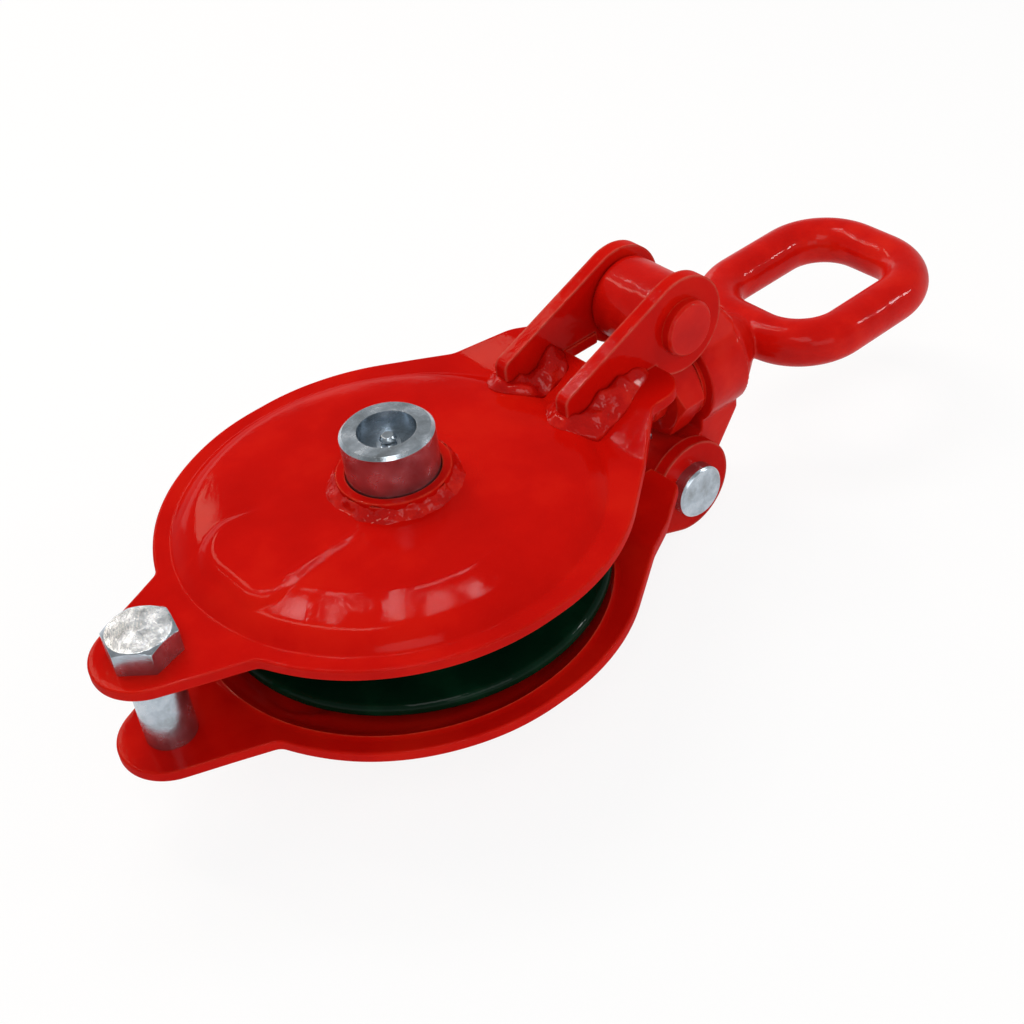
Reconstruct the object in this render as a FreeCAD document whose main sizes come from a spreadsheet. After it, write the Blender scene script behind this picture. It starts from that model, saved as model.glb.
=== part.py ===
"""Snatch block for 16 mm wire rope: two pressed cheeks, a grooved sheave and a swivelling eye."""
import FreeCAD, Part
import math
import os
import re
import Sketcher

V = FreeCAD.Vector
NEARLY = 0.01
CORNER_KEPT = 0.97
CORNER_CUT = 1.25
CORNER_ANGLE = 30
OPEN_WIRE = 0.96
CREST_SHARE = 0.95

SIZES = [
    ("rope_diameter", 16, "wire rope that runs in the sheave"),
    ("groove_clearance", 0.5, "groove radius beyond the rope's radius"),
    ("sheave_diameter", 152, "over the rims"),
    ("groove_depth", 18, "from the rim to the bottom of the groove"),
    ("groove_mouth", 21, "width of the groove at the rim"),
    ("rim_width", 33, "over both rims"),
    ("rim_foot_width", 27, "rim's width at its inner edge"),
    ("rim_foot_radius", 50, "where the web meets the rim"),
    ("crest_rounding", 3, "rounding of the rims"),
    ("web_thickness", 12, "sheave's web"),
    ("web_rounding", 4, "where the web meets hub and rim"),
    ("sheave_hub_diameter", 62, ""),
    ("bush_diameter", 45, "bronze bush, outside"),
    ("bush_clearance", 0.05, "round the axle"),
    ("thrust_washer_diameter", 54, ""),
    ("thrust_washer_thickness", 2, ""),
    ("washer_play", 0.2, "between thrust washer and sheave hub"),
    ("cheek_gap", 35, "between the two plates' flat inner faces"),
    ("cheek_wall", 4.5, "pressed plate"),
    ("cheek_radius", 87.5, "round part of the outline"),
    ("cheek_shift", 4.5, "rear half's centre, behind the axle; the front half is about the axle"),
    ("dome_rise", 8.2, "dome's top above the flat plate"),
    ("dome_flat_radius", 32, "level seat for the hub ring"),
    ("dome_crown_radius", 57, "faint crease round the crown"),
    ("dome_crown_drop", 0.9, "crease below the level seat"),
    ("dome_margin", 7, "flat edge outside the dome"),
    ("dome_wall_width", 6.5, "steep wall, in plan"),
    ("dome_wall_rise", 5, "steep wall's height"),
    ("dome_rounding", 10, "outside, at the shoulder"),
    ("dome_crease", 3, "outside, at the foot"),
    ("crease_rounding", 7, "outside, at the ramp's bends"),
    ("rib_drop", 0.6, "rib's top below the level seat"),
    ("rib_reach", 72, "flat rib towards the tail, end of its top"),
    ("rib_near", 16, "rib's near edge from the block's axis"),
    ("rib_far", 24, "rib's far edge from the block's axis"),
    ("rib_spread", 9, "foot beyond the rib's top"),
    ("rib_rounding", 11, ""),
    ("tail_reach", 110, "tail bolt behind the axle"),
    ("tail_lobe_radius", 20, ""),
    ("tail_neck_width", 64, "where the tail leaves the round part"),
    ("head_reach", 112.5, "front end of the cheek"),
    ("head_near", 38.5, "head's near edge from the block's axis"),
    ("head_far", 29, "head's far corner from the block's axis"),
    ("head_corner_reach", 93, "where the flank meets the head"),
    ("head_rounding", 12, "near corner"),
    ("head_far_rounding", 5, "far corner"),
    ("neck_rounding", 6, "inside corners of the outline"),
    ("notch_reach", 96, "bottom of the notch between the lugs, clear of the crosshead"),
    ("notch_width", 27, ""),
    ("ramp_start", 72, ""),
    ("ramp_end", 92, ""),
    ("ramp_rise", 7.5, "raised head above the flat plate"),
    ("pin_reach", 127.5, "hinge pins ahead of the axle"),
    ("pin_height", 40, "hinge pins from the mid-plane"),
    ("lug_end_radius", 20.5, ""),
    ("lug_thickness", 6, ""),
    ("lug_spacing", 29, "clear width between two lugs"),
    ("lug_rear", 66, "rear edge of the lugs"),
    ("lug_rear_height", 37.5, ""),
    ("lug_rounding", 4, ""),
    ("weld_leg", 8, "fillet welds at the lugs' feet"),
    ("weld_end_leg", 6, "their front ends are narrower"),
    ("weld_end_gap", 1.5, "weld to the crosshead's barrel"),
    ("pin_diameter", 16, ""),
    ("pin_clearance", 0.1, "radial, in lugs and crosshead"),
    ("pin_head_diameter", 23, ""),
    ("pin_head_height", 4.5, "upper pin"),
    ("lower_head_height", 6, "lower pin"),
    ("pin_edge", 1, "chamfers on pins"),
    ("pin_washer_diameter", 30, ""),
    ("pin_washer_thickness", 3, ""),
    ("pin_end_length", 5.6, "beyond the washer"),
    ("pin_hole_inset", 3.3, "cross hole from the pin's end"),
    ("wire_hole_clearance", 0.2, "radial, round split pins and clip"),
    ("barrel_radius", 17, "crosshead round the hinge pins"),
    ("barrel_clearance", 0.3, "crosshead to each lug"),
    ("crosshead_rear", 141, ""),
    ("crosshead_front", 162, ""),
    ("crosshead_front_angle", 35, "where the front flank leaves the barrel"),
    ("crosshead_rear_angle", 60, "where the rear flank leaves the barrel"),
    ("crosshead_hub_radius", 22, ""),
    ("crosshead_rounding", 2.5, ""),
    ("stem_diameter", 24, ""),
    ("stem_clearance", 0.08, "radial, in the crosshead"),
    ("stem_tip", 118, "rear end of the stem"),
    ("eye_start", 184.5, "bar's centre line, rear"),
    ("eye_end", 263.5, "bar's centre line, front"),
    ("eye_width", 62.6, "between the side bars' centre lines"),
    ("eye_corner_radius", 24, "bar's centre line"),
    ("eye_bar", 20, "bar's diameter"),
    ("neck_radius", 19, "collar on the crosshead"),
    ("neck_collar", 3, "collar's straight length"),
    ("swivel_play", 0.3, "collar to crosshead"),
    ("stem_nut_width", 36, "across flats"),
    ("stem_nut_height", 14, ""),
    ("swivel_washer_diameter", 36, ""),
    ("swivel_washer_thickness", 2, ""),
    ("nut_play", 0.2, "nut to washer"),
    ("stem_hole_inset", 3.5, "cross hole ahead of the stem's tip"),
    ("stem_wire", 3.6, "split pin through the stem"),
    ("pin_wire", 3.6, "split pin through the upper hinge pin"),
    ("clip_wire", 3.5, "spring clip's wire"),
    ("clip_clearance", 0.8, "clip's outer leg to the pin"),
    ("axle_diameter", 35, ""),
    ("axle_end_diameter", 30, "below the shoulder"),
    ("axle_boss_height", 17.3, "above the hub ring"),
    ("boss_recess_diameter", 22, ""),
    ("boss_recess_depth", 9, ""),
    ("boss_edge", 1.2, "chamfers on the axle's ends"),
    ("grease_bore", 4, "drillings for grease"),
    ("nipple_thread", 6, ""),
    ("hexagon_nudge", 0.0001, "degrees, keeps a hexagon's corners off the axes"),
    ("nipple_width", 9, "across flats"),
    ("nipple_head", 6.4, "ball head's diameter"),
    ("nipple_height", 6.5, "above the recess's floor"),
    ("hub_ring_diameter", 43, ""),
    ("hub_ring_height", 5.5, ""),
    ("ring_clearance", 0.3, "radial, round the axle"),
    ("hub_weld_leg", 4, ""),
    ("axle_nut_width", 46, "across flats"),
    ("thread_clearance", 0.05, "radial, nuts on their threads"),
    ("tail_bolt_diameter", 16, ""),
    ("tail_bolt_clearance", 0.5, "radial, in the cheeks"),
    ("tail_bolt_head_width", 24, "across flats"),
    ("tail_bolt_head_height", 10, ""),
    ("tail_bolt_turn", 15.9, "head's corners from the block's axis"),
    ("tail_bolt_end", 1.5, "beyond the nut"),
    ("spacer_diameter", 19, ""),
    ("spacer_bore", 16.4, ""),
    ("tail_nut_height", 6, "thin nut"),
]
ALIASES = {alias for alias, value, note in SIZES}

doc = FreeCAD.newDocument("SnatchBlock")
sizes = doc.addObject("Spreadsheet::Sheet", "sizes")
for row, (alias, value, note) in enumerate(SIZES, 1):
    sizes.set(f"A{row}", alias)
    sizes.set(f"B{row}", str(value))
    sizes.set(f"C{row}", note)
    sizes.setAlias(f"B{row}", alias)
doc.recompute()

# Places that several pieces share, measured from the sheave's mid-plane and the axle's centre line.
PLATE_IN = "(cheek_gap / 2)"
PLATE_TOP = "(cheek_gap / 2 + cheek_wall)"
DOME_TOP = "(cheek_gap / 2 + cheek_wall + dome_rise)"
DOME_IN = "(cheek_gap / 2 + dome_rise)"
CROWN = f"({DOME_TOP} - dome_crown_drop)"
SHOULDER = f"({PLATE_TOP} + dome_wall_rise)"
FOOT_RADIUS = "(cheek_radius - dome_margin)"
SHOULDER_RADIUS = f"({FOOT_RADIUS} - dome_wall_width)"
CROWN_SLOPE = f"atan(({CROWN} - {SHOULDER}) / ({SHOULDER_RADIUS} - dome_crown_radius))"
WALL_SLOPE = "atan(dome_wall_rise / dome_wall_width)"
RIB_TOP = f"({DOME_TOP} - rib_drop)"
RAMP_SLOPE = "atan(ramp_rise / (ramp_end - ramp_start))"
RING_TOP = f"({DOME_TOP} + hub_ring_height)"
HUB_HALF = f"({DOME_IN} - thrust_washer_thickness - washer_play)"
LUG_OUT = "(lug_spacing / 2 + lug_thickness)"
LUG_MIDDLE = "(lug_spacing / 2 + lug_thickness / 2)"
WASHER_OUT = f"({LUG_OUT} + pin_washer_thickness)"
PIN_END = f"({WASHER_OUT} + pin_end_length)"
CROSS_HOLE = f"({PIN_END} - pin_hole_inset)"
FOOT = "(pin_height + lug_end_radius)"
REAR_SEAT = f"({PLATE_TOP} + cheek_wall / 3)"
VALLEY_SEAT = f"({PLATE_TOP} - cheek_wall / 8)"
NECK_BACK = "(crosshead_front + swivel_play)"
NUT_FRONT = "(crosshead_rear - swivel_washer_thickness - nut_play)"


def named(text):
    """An expression with each size's name turned into its cell."""
    return re.sub("[a-z_]+", lambda word: f"sizes.{word[0]}" if word[0] in ALIASES else word[0], text)


def at(text):
    """The number that an expression gives now."""
    return float(sizes.evalExpression(named(text)))


def body(name):
    piece = doc.addObject("PartDesign::Body", name)
    piece.Label = name
    return piece


def settle(piece, turned=False):
    """Lift a piece from the mid-plane to its place; turned pieces go below, half a turn about X."""
    if turned:
        piece.Placement = FreeCAD.Placement(V(0, 0, 0), FreeCAD.Rotation(V(1, 0, 0), 180))
    piece.setExpression("Placement.Base.z", named(FOOT))
    return piece


def sketch(owner, name, role, across="0", up="0", out="0"):
    """A sketch on one of the owner's own planes, moved within it and out of it."""
    drawing = owner.newObject("Sketcher::SketchObject", f"{owner.Name}_{name}_sketch")
    plane = next(item for item in owner.Origin.OriginFeatures if item.Role == role)
    drawing.AttachmentSupport = [(plane, "")]
    drawing.MapMode = "FlatFace"
    for direction, text in zip("xyz", (across, up, out)):
        if text != "0":
            drawing.setExpression(f"AttachmentOffset.Base.{direction}", named(text))
    return drawing


def size(drawing, kind, *args):
    """A dimension whose value is an expression; the last argument is its text."""
    *places, text = args
    number = drawing.addConstraint(Sketcher.Constraint(kind, *places, at(text)))
    drawing.setExpression(f"Constraints[{number}]", named(text))


def pin_point(drawing, piece, end, x, y):
    """Hold a point at x, y; a zero keeps it on the axis."""
    for kind, text, axis in (("DistanceX", x, -2), ("DistanceY", y, -1)):
        if text == "0":
            drawing.addConstraint(Sketcher.Constraint("PointOnObject", piece, end, axis))
        else:
            size(drawing, kind, -1, 1, piece, end, text)


def corner_round(before, corner, after, radius):
    """Where a rounding of a corner starts and ends, its centre, and whether it turns left."""
    back = (before - corner).normalize()
    ahead = (after - corner).normalize()
    half = back.getAngle(ahead) / 2
    reach = radius / math.tan(half)
    centre = corner + (back + ahead).normalize() * (radius / math.sin(half))
    return corner + back * reach, corner + ahead * reach, centre, back.cross(ahead).z < 0


def outline(drawing, corners, closed=True):
    """Straight runs through corners (x, y) or (x, y, radius), in that order."""
    count = len(corners)
    places = [V(at(corner[0]), at(corner[1]), 0) for corner in corners]
    starts = list(places)
    ends = list(places)
    arcs = {}
    for i, corner in enumerate(corners):
        if len(corner) > 2:
            radius = at(corner[2])
            ends[i], starts[i], centre, left = corner_round(
                places[i - 1], places[i], places[(i + 1) % count], radius)
            arcs[i] = (centre, radius, left)
    runs = count if closed else count - 1
    for i in range(runs):
        drawing.addGeometry(Part.LineSegment(starts[i], ends[(i + 1) % count]), False)
    for i, corner in enumerate(corners):
        before = (i - 1) % count
        if i in arcs:
            centre, radius, left = arcs[i]
            first, last = (ends[i], starts[i]) if left else (starts[i], ends[i])
            angles = [math.atan2(place.y - centre.y, place.x - centre.x) for place in (first, last)]
            arc = drawing.addGeometry(
                Part.ArcOfCircle(Part.Circle(centre, V(0, 0, 1), radius), *angles), False)
            entry, leave = (1, 2) if left else (2, 1)
            drawing.addConstraint(Sketcher.Constraint("Tangent", before, 2, arc, entry))
            drawing.addConstraint(Sketcher.Constraint("Tangent", arc, leave, i, 1))
            size(drawing, "Radius", arc, corner[2])
            point = drawing.addGeometry(Part.Point(places[i]), True)
            drawing.addConstraint(Sketcher.Constraint("PointOnObject", point, 1, before))
            drawing.addConstraint(Sketcher.Constraint("PointOnObject", point, 1, i))
            pin_point(drawing, point, 1, corner[0], corner[1])
        elif i < runs:
            if closed or i > 0:
                drawing.addConstraint(Sketcher.Constraint("Coincident", before, 2, i, 1))
            pin_point(drawing, i, 1, corner[0], corner[1])
        else:
            pin_point(drawing, before, 2, corner[0], corner[1])


def circle(drawing, x, y, radius):
    ring = drawing.addGeometry(Part.Circle(V(at(x), at(y), 0), V(0, 0, 1), at(radius)), False)
    pin_point(drawing, ring, 3, x, y)
    size(drawing, "Radius", ring, radius)


def hexagon(drawing, width, turn="0"):
    """Six corners on a circle about the sketch's origin, from the width across flats."""
    corner = f"({width}) / sqrt(3)"
    angles = [f"({step * 60} + hexagon_nudge + {turn})" for step in range(6)]
    outline(drawing, [(f"{corner} * cos({angle})", f"{corner} * sin({angle})") for angle in angles])


def feature(owner, kind, name, drawing=None):
    item = owner.newObject(f"PartDesign::{kind}", f"{owner.Name}_{name}")
    if drawing:
        item.Profile = drawing
    return item


def pad(owner, name, drawing, length, both_ways=False):
    item = feature(owner, "Pad", name, drawing)
    item.SideType = "Symmetric" if both_ways else "One side"
    item.setExpression("Length", named(length))


def pocket(owner, name, drawing):
    """Cut right through, both ways."""
    item = feature(owner, "Pocket", name, drawing)
    item.SideType = "Symmetric"
    item.Type = "ThroughAll"


def revolve(owner, name, drawing, axis="V_Axis", cut=False):
    item = feature(owner, "Groove" if cut else "Revolution", name, drawing)
    item.ReferenceAxis = (drawing, [axis])
    item.Angle = 360


def round_edges(owner, name, radius, test):
    """Round each edge of the piece so far that passes the test."""
    doc.recompute()
    base = owner.Tip
    picked = [f"Edge{number}" for number, edge in enumerate(base.Shape.Edges, 1) if test(edge)]
    item = feature(owner, "Fillet", name)
    item.Base = (base, picked)
    item.setExpression("Radius", named(radius))


def sweep(owner, name, path, wire, role, across, up, out="0"):
    """A round bar along a drawn path; its section stands where the path starts."""
    section = sketch(owner, f"{name}_section", role, out=out)
    circle(section, across, up, f"({wire}) / 2")
    doc.recompute()
    item = feature(owner, "AdditivePipe", name, section)
    item.Spine = (path, [f"Edge{number + 1}" for number in range(len(path.Shape.Edges))])


def turned_piece(name, corners, role="XZ_Plane", axis="V_Axis", **place):
    """A piece turned on a lathe, from half of its section."""
    piece = body(name)
    half = sketch(piece, "half", role, **place)
    outline(half, corners)
    revolve(piece, "turned", half, axis)
    return piece


def tube_corners(inner, outer, low, high):
    return [(inner, low), (outer, low), (outer, high), (inner, high)]


def cheek_outline(drawing):
    """The pressed plate's edge: round middle, tapered tail with a round lobe, head with one corner."""
    half_neck = at("tail_neck_width / 2")
    middle = V(at("-cheek_shift"), 0, 0)
    lobe = V(at("-tail_reach"), 0, 0)
    axle = V(0, 0, 0)
    big = at("cheek_radius")
    small = at("tail_lobe_radius")

    def touch(point, centre, radius, turn):
        """Where a line from a point touches a circle."""
        line = point - centre
        angle = math.atan2(line.y, line.x) + turn * math.acos(radius / line.Length)
        return centre + V(math.cos(angle), math.sin(angle), 0) * radius

    far_front = V(at("head_reach"), at("head_far"), 0)
    far_flank = touch(far_front, axle, big, 1)
    far_neck = middle + V(-math.sqrt(big ** 2 - half_neck ** 2), half_neck, 0)
    far_tail = touch(far_neck, lobe, small, 1)
    near_tail = V(far_tail.x, -far_tail.y, 0)
    near_neck = V(far_neck.x, -far_neck.y, 0)
    near_corner = V(at("head_corner_reach"), at("-head_near"), 0)
    near_flank = touch(near_corner, axle, big, -1)
    near_front = V(at("head_reach"), at("-head_near"), 0)
    aside = V(0, big, 0)
    places = [far_front, far_flank, axle + aside, middle + aside, far_neck, far_tail, near_tail,
              near_neck, middle - aside, axle - aside, near_flank, near_corner, near_front]
    centres = {1: (axle, big), 3: (middle, big), 5: (lobe, small), 7: (middle, big), 9: (axle, big)}
    for i, place in enumerate(places):
        after = places[(i + 1) % len(places)]
        if i in centres:
            centre, radius = centres[i]
            angles = [math.atan2(spot.y - centre.y, spot.x - centre.x) for spot in (place, after)]
            drawing.addGeometry(Part.ArcOfCircle(Part.Circle(centre, V(0, 0, 1), radius), *angles), False)
        else:
            drawing.addGeometry(Part.LineSegment(place, after), False)
    smooth = {1, 2, 3, 5, 6, 8, 9, 10}
    for i in range(len(places)):
        kind = "Tangent" if i in smooth else "Coincident"
        drawing.addConstraint(Sketcher.Constraint(kind, (i - 1) % len(places), 2, i, 1))
    pin_point(drawing, 0, 1, "head_reach", "head_far")
    pin_point(drawing, 11, 1, "head_corner_reach", "-head_near")
    pin_point(drawing, 12, 1, "head_reach", "-head_near")
    for arc, centre in ((1, "0"), (3, "-cheek_shift"), (7, "-cheek_shift"), (9, "0")):
        pin_point(drawing, arc, 3, centre, "0")
        size(drawing, "Radius", arc, "cheek_radius")
    pin_point(drawing, 5, 3, "-tail_reach", "0")
    size(drawing, "Radius", 5, "tail_lobe_radius")
    size(drawing, "DistanceY", -1, 1, 4, 1, "tail_neck_width / 2")
    size(drawing, "DistanceY", -1, 1, 7, 1, "-tail_neck_width / 2")


def upright(edge, x, y):
    """Whether an edge stands on the point x, y."""
    return all(math.hypot(vertex.X - x, vertex.Y - y) < NEARLY for vertex in edge.Vertexes)


def notch(piece):
    """Cut the front edge back between the lugs."""
    drawing = sketch(piece, "notch", "XY_Plane")
    front = "2 * head_reach"
    outline(drawing, [("notch_reach", "notch_width / 2"), ("notch_reach", "-notch_width / 2"),
                      (front, "-notch_width / 2"), (front, "notch_width / 2")])
    pocket(piece, "notch", drawing)


def cheek(name, axle_hole, turned):
    """A pressed cheek: flat edge, hollow dome, rib towards the tail and raised head."""
    piece = body(name)
    bend_in = f"cheek_wall * tan({RAMP_SLOPE} / 2)"
    inner_bend = (f"ramp_start + {bend_in}", PLATE_IN, "crease_rounding + cheek_wall")
    outer_crest = (f"ramp_end + {bend_in}", f"{PLATE_IN} + ramp_rise", "crease_rounding")
    front = "head_reach + cheek_wall"
    back = "-tail_reach - tail_lobe_radius - cheek_wall"

    side = sketch(piece, "side", "XZ_Plane")
    outline(side, [
        (back, PLATE_TOP), (back, PLATE_IN), inner_bend, outer_crest,
        (front, f"{PLATE_IN} + ramp_rise"), (front, f"{PLATE_TOP} + ramp_rise"),
        ("ramp_end", f"{PLATE_TOP} + ramp_rise", "crease_rounding + cheek_wall"),
        ("ramp_start", PLATE_TOP, "crease_rounding")])
    pad(piece, "strip", side, "2 * cheek_radius + 2 * cheek_wall", both_ways=True)

    border = "cheek_radius + 3 * cheek_wall"
    waste = sketch(piece, "waste", "XY_Plane")
    cheek_outline(waste)
    first = waste.GeometryCount
    corners = [(f"{back} - cheek_wall", f"-({border})"), (f"{front} + cheek_wall", f"-({border})"),
               (f"{front} + cheek_wall", border), (f"{back} - cheek_wall", border)]
    for i, (x, y) in enumerate(corners):
        across, along = corners[(i + 1) % 4]
        waste.addGeometry(Part.LineSegment(V(at(x), at(y), 0), V(at(across), at(along), 0)), False)
    for i, (x, y) in enumerate(corners):
        waste.addConstraint(Sketcher.Constraint("Coincident", first + (i - 1) % 4, 2, first + i, 1))
        pin_point(waste, first + i, 1, x, y)
    pocket(piece, "trimmed", waste)

    neck = -at("cheek_shift + sqrt(cheek_radius ^ 2 - tail_neck_width ^ 2 / 4)")
    inside_corners = [(at("head_corner_reach"), at("-head_near")), (neck, at("tail_neck_width / 2")),
                      (neck, at("-tail_neck_width / 2"))]
    for side, place, rounding in (("near", "-head_near", "head_rounding"),
                                  ("far", "head_far", "head_far_rounding")):
        round_edges(piece, f"head_{side}_corner", rounding,
                    lambda item: upright(item, at("head_reach"), at(place)))
    round_edges(piece, "inside_corners", "neck_rounding",
                lambda item: any(upright(item, *spot) for spot in inside_corners))

    inside = f"({FOOT_RADIUS} + dome_crease)"
    dome = sketch(piece, "dome", "XZ_Plane", across="-cheek_shift")
    outline(dome, [
        ("0", f"{PLATE_TOP} - cheek_wall / 2"), (inside, f"{PLATE_TOP} - cheek_wall / 2"),
        (inside, PLATE_TOP), (FOOT_RADIUS, PLATE_TOP, "dome_crease"),
        (SHOULDER_RADIUS, SHOULDER, "dome_rounding"), ("dome_crown_radius", CROWN),
        ("dome_flat_radius", DOME_TOP), ("0", DOME_TOP)])
    revolve(piece, "dome", dome)

    def rib_rectangle(drawing, spread):
        start = "-(dome_flat_radius + cheek_shift)"
        outline(drawing, [
            (start, f"rib_far + {spread}"), (f"-rib_reach - {spread}", f"rib_far + {spread}", "rib_rounding"),
            (f"-rib_reach - {spread}", f"-rib_near - {spread}", "rib_rounding"),
            (start, f"-rib_near - {spread}")])

    shoulder_lean = f"cheek_wall / (1 + cos({WALL_SLOPE} - {CROWN_SLOPE}))"
    rib_slope = "atan((dome_rise - rib_drop) / rib_spread)"
    for kind, drop, inset in (("AdditiveLoft", "0", "0"),
                              ("SubtractiveLoft", "cheek_wall", f"cheek_wall * tan({rib_slope} / 2)")):
        if kind == "SubtractiveLoft":
            cavity = sketch(piece, "cavity", "XZ_Plane", across="-cheek_shift")
            outline(cavity, [
                ("0", "0"), (inside, "0"), (inside, PLATE_IN),
                (f"{FOOT_RADIUS} - cheek_wall * tan({WALL_SLOPE} / 2)", PLATE_IN, "dome_crease + cheek_wall"),
                (f"{SHOULDER_RADIUS} - {shoulder_lean} * (sin({WALL_SLOPE}) + sin({CROWN_SLOPE}))",
                 f"{SHOULDER} - {shoulder_lean} * (cos({WALL_SLOPE}) + cos({CROWN_SLOPE}))",
                 "dome_rounding - cheek_wall"),
                ("dome_crown_radius", f"{CROWN} - cheek_wall"), ("dome_flat_radius", DOME_IN),
                ("0", DOME_IN)])
            revolve(piece, "cavity", cavity, cut=True)
        foot = sketch(piece, f"{kind}_foot", "XY_Plane", out=f"{PLATE_TOP} - {drop}")
        rib_rectangle(foot, f"(rib_spread - {inset})")
        top = sketch(piece, f"{kind}_top", "XY_Plane", out=f"{RIB_TOP} - {drop}")
        rib_rectangle(top, f"(0 - {inset})")
        rib = feature(piece, kind, f"rib_{kind}", foot)
        rib.Sections = [top]

    under = sketch(piece, "under", "XZ_Plane")
    outline(under, [
        ("0", PLATE_IN), ("0", "0"), (f"2 * {front}", "0"), (f"2 * {front}", f"{PLATE_IN} + ramp_rise"),
        outer_crest, inner_bend])
    pocket(piece, "under_ramp", under)

    holes = sketch(piece, "holes", "XY_Plane")
    circle(holes, "0", "0", axle_hole)
    circle(holes, "-tail_reach", "0", "tail_bolt_diameter / 2 + tail_bolt_clearance")
    pocket(piece, "holes", holes)
    notch(piece)
    return settle(piece, turned)


def hub_ring(name, hole, turned):
    """A ring that backs the cheek round the axle."""
    piece = turned_piece(name, tube_corners(hole, "hub_ring_diameter / 2", DOME_TOP, RING_TOP))
    return settle(piece, turned)


def hub_weld(name, turned):
    """A fillet weld round the hub ring."""
    piece = turned_piece(name, [
        ("hub_ring_diameter / 2", DOME_TOP), ("hub_ring_diameter / 2 + hub_weld_leg", DOME_TOP),
        ("hub_ring_diameter / 2 + hub_weld_leg * 0.7", f"{DOME_TOP} + hub_weld_leg * 0.7",
         "hub_weld_leg / 4"),
        ("hub_ring_diameter / 2", f"{DOME_TOP} + hub_weld_leg")])
    return settle(piece, turned)


def lug(name, cheek_piece, side, turned):
    """A hinge lug of thick plate that stands on the cheek's raised head, cut to sit on it."""
    blank = body(f"{name}_blank")
    end = V(at("pin_reach"), at("pin_height"), 0)
    radius = at("lug_end_radius")
    seat = f"({PLATE_TOP} + ramp_rise - cheek_wall / 2)"
    rear = V(at("lug_rear"), at("lug_rear_height"), 0)
    line = rear - end
    angle = math.atan2(line.y, line.x) - math.acos(radius / line.Length)
    touch = end + V(math.cos(angle), math.sin(angle), 0) * radius
    low = V(end.x - math.sqrt(radius ** 2 - (end.y - at(seat)) ** 2), at(seat), 0)
    bend = V(at("ramp_end"), at(seat), 0)
    valley = V(at("ramp_start"), at(VALLEY_SEAT), 0)
    foot = V(at("lug_rear"), at(REAR_SEAT), 0)

    side_view = sketch(blank, "side", "XZ_Plane", out=f"{side} * {LUG_MIDDLE}")
    places = [foot, rear, touch, low, bend, valley]
    for i, place in enumerate(places):
        after = places[(i + 1) % len(places)]
        if i == 2:
            angles = [math.atan2(spot.y - end.y, spot.x - end.x) for spot in (after, place)]
            side_view.addGeometry(Part.ArcOfCircle(Part.Circle(end, V(0, 0, 1), radius), *angles), False)
        else:
            side_view.addGeometry(Part.LineSegment(place, after), False)
    side_view.addConstraint(Sketcher.Constraint("Coincident", 5, 2, 0, 1))
    side_view.addConstraint(Sketcher.Constraint("Coincident", 0, 2, 1, 1))
    side_view.addConstraint(Sketcher.Constraint("Tangent", 1, 2, 2, 2))
    side_view.addConstraint(Sketcher.Constraint("Coincident", 2, 1, 3, 1))
    side_view.addConstraint(Sketcher.Constraint("Coincident", 3, 2, 4, 1))
    side_view.addConstraint(Sketcher.Constraint("Coincident", 4, 2, 5, 1))
    pin_point(side_view, 0, 1, "lug_rear", REAR_SEAT)
    pin_point(side_view, 1, 1, "lug_rear", "lug_rear_height")
    pin_point(side_view, 2, 3, "pin_reach", "pin_height")
    size(side_view, "Radius", 2, "lug_end_radius")
    size(side_view, "DistanceY", -1, 1, 3, 1, seat)
    pin_point(side_view, 4, 1, "ramp_end", seat)
    pin_point(side_view, 5, 1, "ramp_start", VALLEY_SEAT)
    pad(blank, "plate", side_view, "lug_thickness", both_ways=True)

    round_edges(blank, "rear_corner", "lug_rounding",
                lambda item: all(math.hypot(spot.X - rear.x, spot.Z - rear.y) < NEARLY
                                 for spot in item.Vertexes))
    hole = sketch(blank, "hole", "XZ_Plane")
    circle(hole, "pin_reach", "pin_height", "pin_diameter / 2 + pin_clearance")
    pocket(blank, "pin_hole", hole)
    return cut(name, settle(blank, turned), cheek_piece)


def cut(name, base, tool):
    item = doc.addObject("Part::Cut", name)
    item.Label = name
    item.Base = base
    item.Tool = tool
    return item


def lug_weld(name, cheek_piece, lug_piece, side, turned):
    """A weld bead along both sides of a lug's foot and round its rear edge."""
    blank = body(f"{name}_blank")
    crest = "(lug_thickness / 2 + weld_leg / 6)"
    toe = "(lug_thickness / 2 + weld_leg + cheek_wall / 2)"
    middle = f"({PLATE_TOP} + ramp_rise - cheek_wall / 2)"
    rise = "(cheek_wall / 2 + weld_leg)"
    stations = [
        ("lug_rear - weld_leg", "lug_thickness", SHOULDER, f"({SHOULDER} + cheek_wall / 2)"),
        ("lug_rear", toe, REAR_SEAT, f"({REAR_SEAT} + {rise})"),
        ("ramp_start", toe, VALLEY_SEAT, f"({VALLEY_SEAT} + {rise})"),
        ("ramp_end", toe, middle, f"({middle} + {rise})"),
        ("pin_reach - barrel_radius - weld_end_gap", "(lug_thickness / 2 + weld_end_leg)", middle,
         f"({middle} + {rise})")]
    sections = []
    for i, (along, half_foot, low, high) in enumerate(stations):
        section = sketch(blank, f"section_{i}", "YZ_Plane", out=along)
        centre = f"-({side}) * {LUG_MIDDLE}"
        outline(section, [(f"{centre} - {half_foot}", low), (f"{centre} + {half_foot}", low),
                          (f"{centre} + {crest}", high), (f"{centre} - {crest}", high)])
        sections.append(section)
    bead = feature(blank, "AdditiveLoft", "bead", sections[0])
    bead.Sections = sections[1:]
    bead.Ruled = True
    notch(blank)
    return cut(name, cut(f"{name}_on_cheek", settle(blank, turned), cheek_piece), lug_piece)


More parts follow.
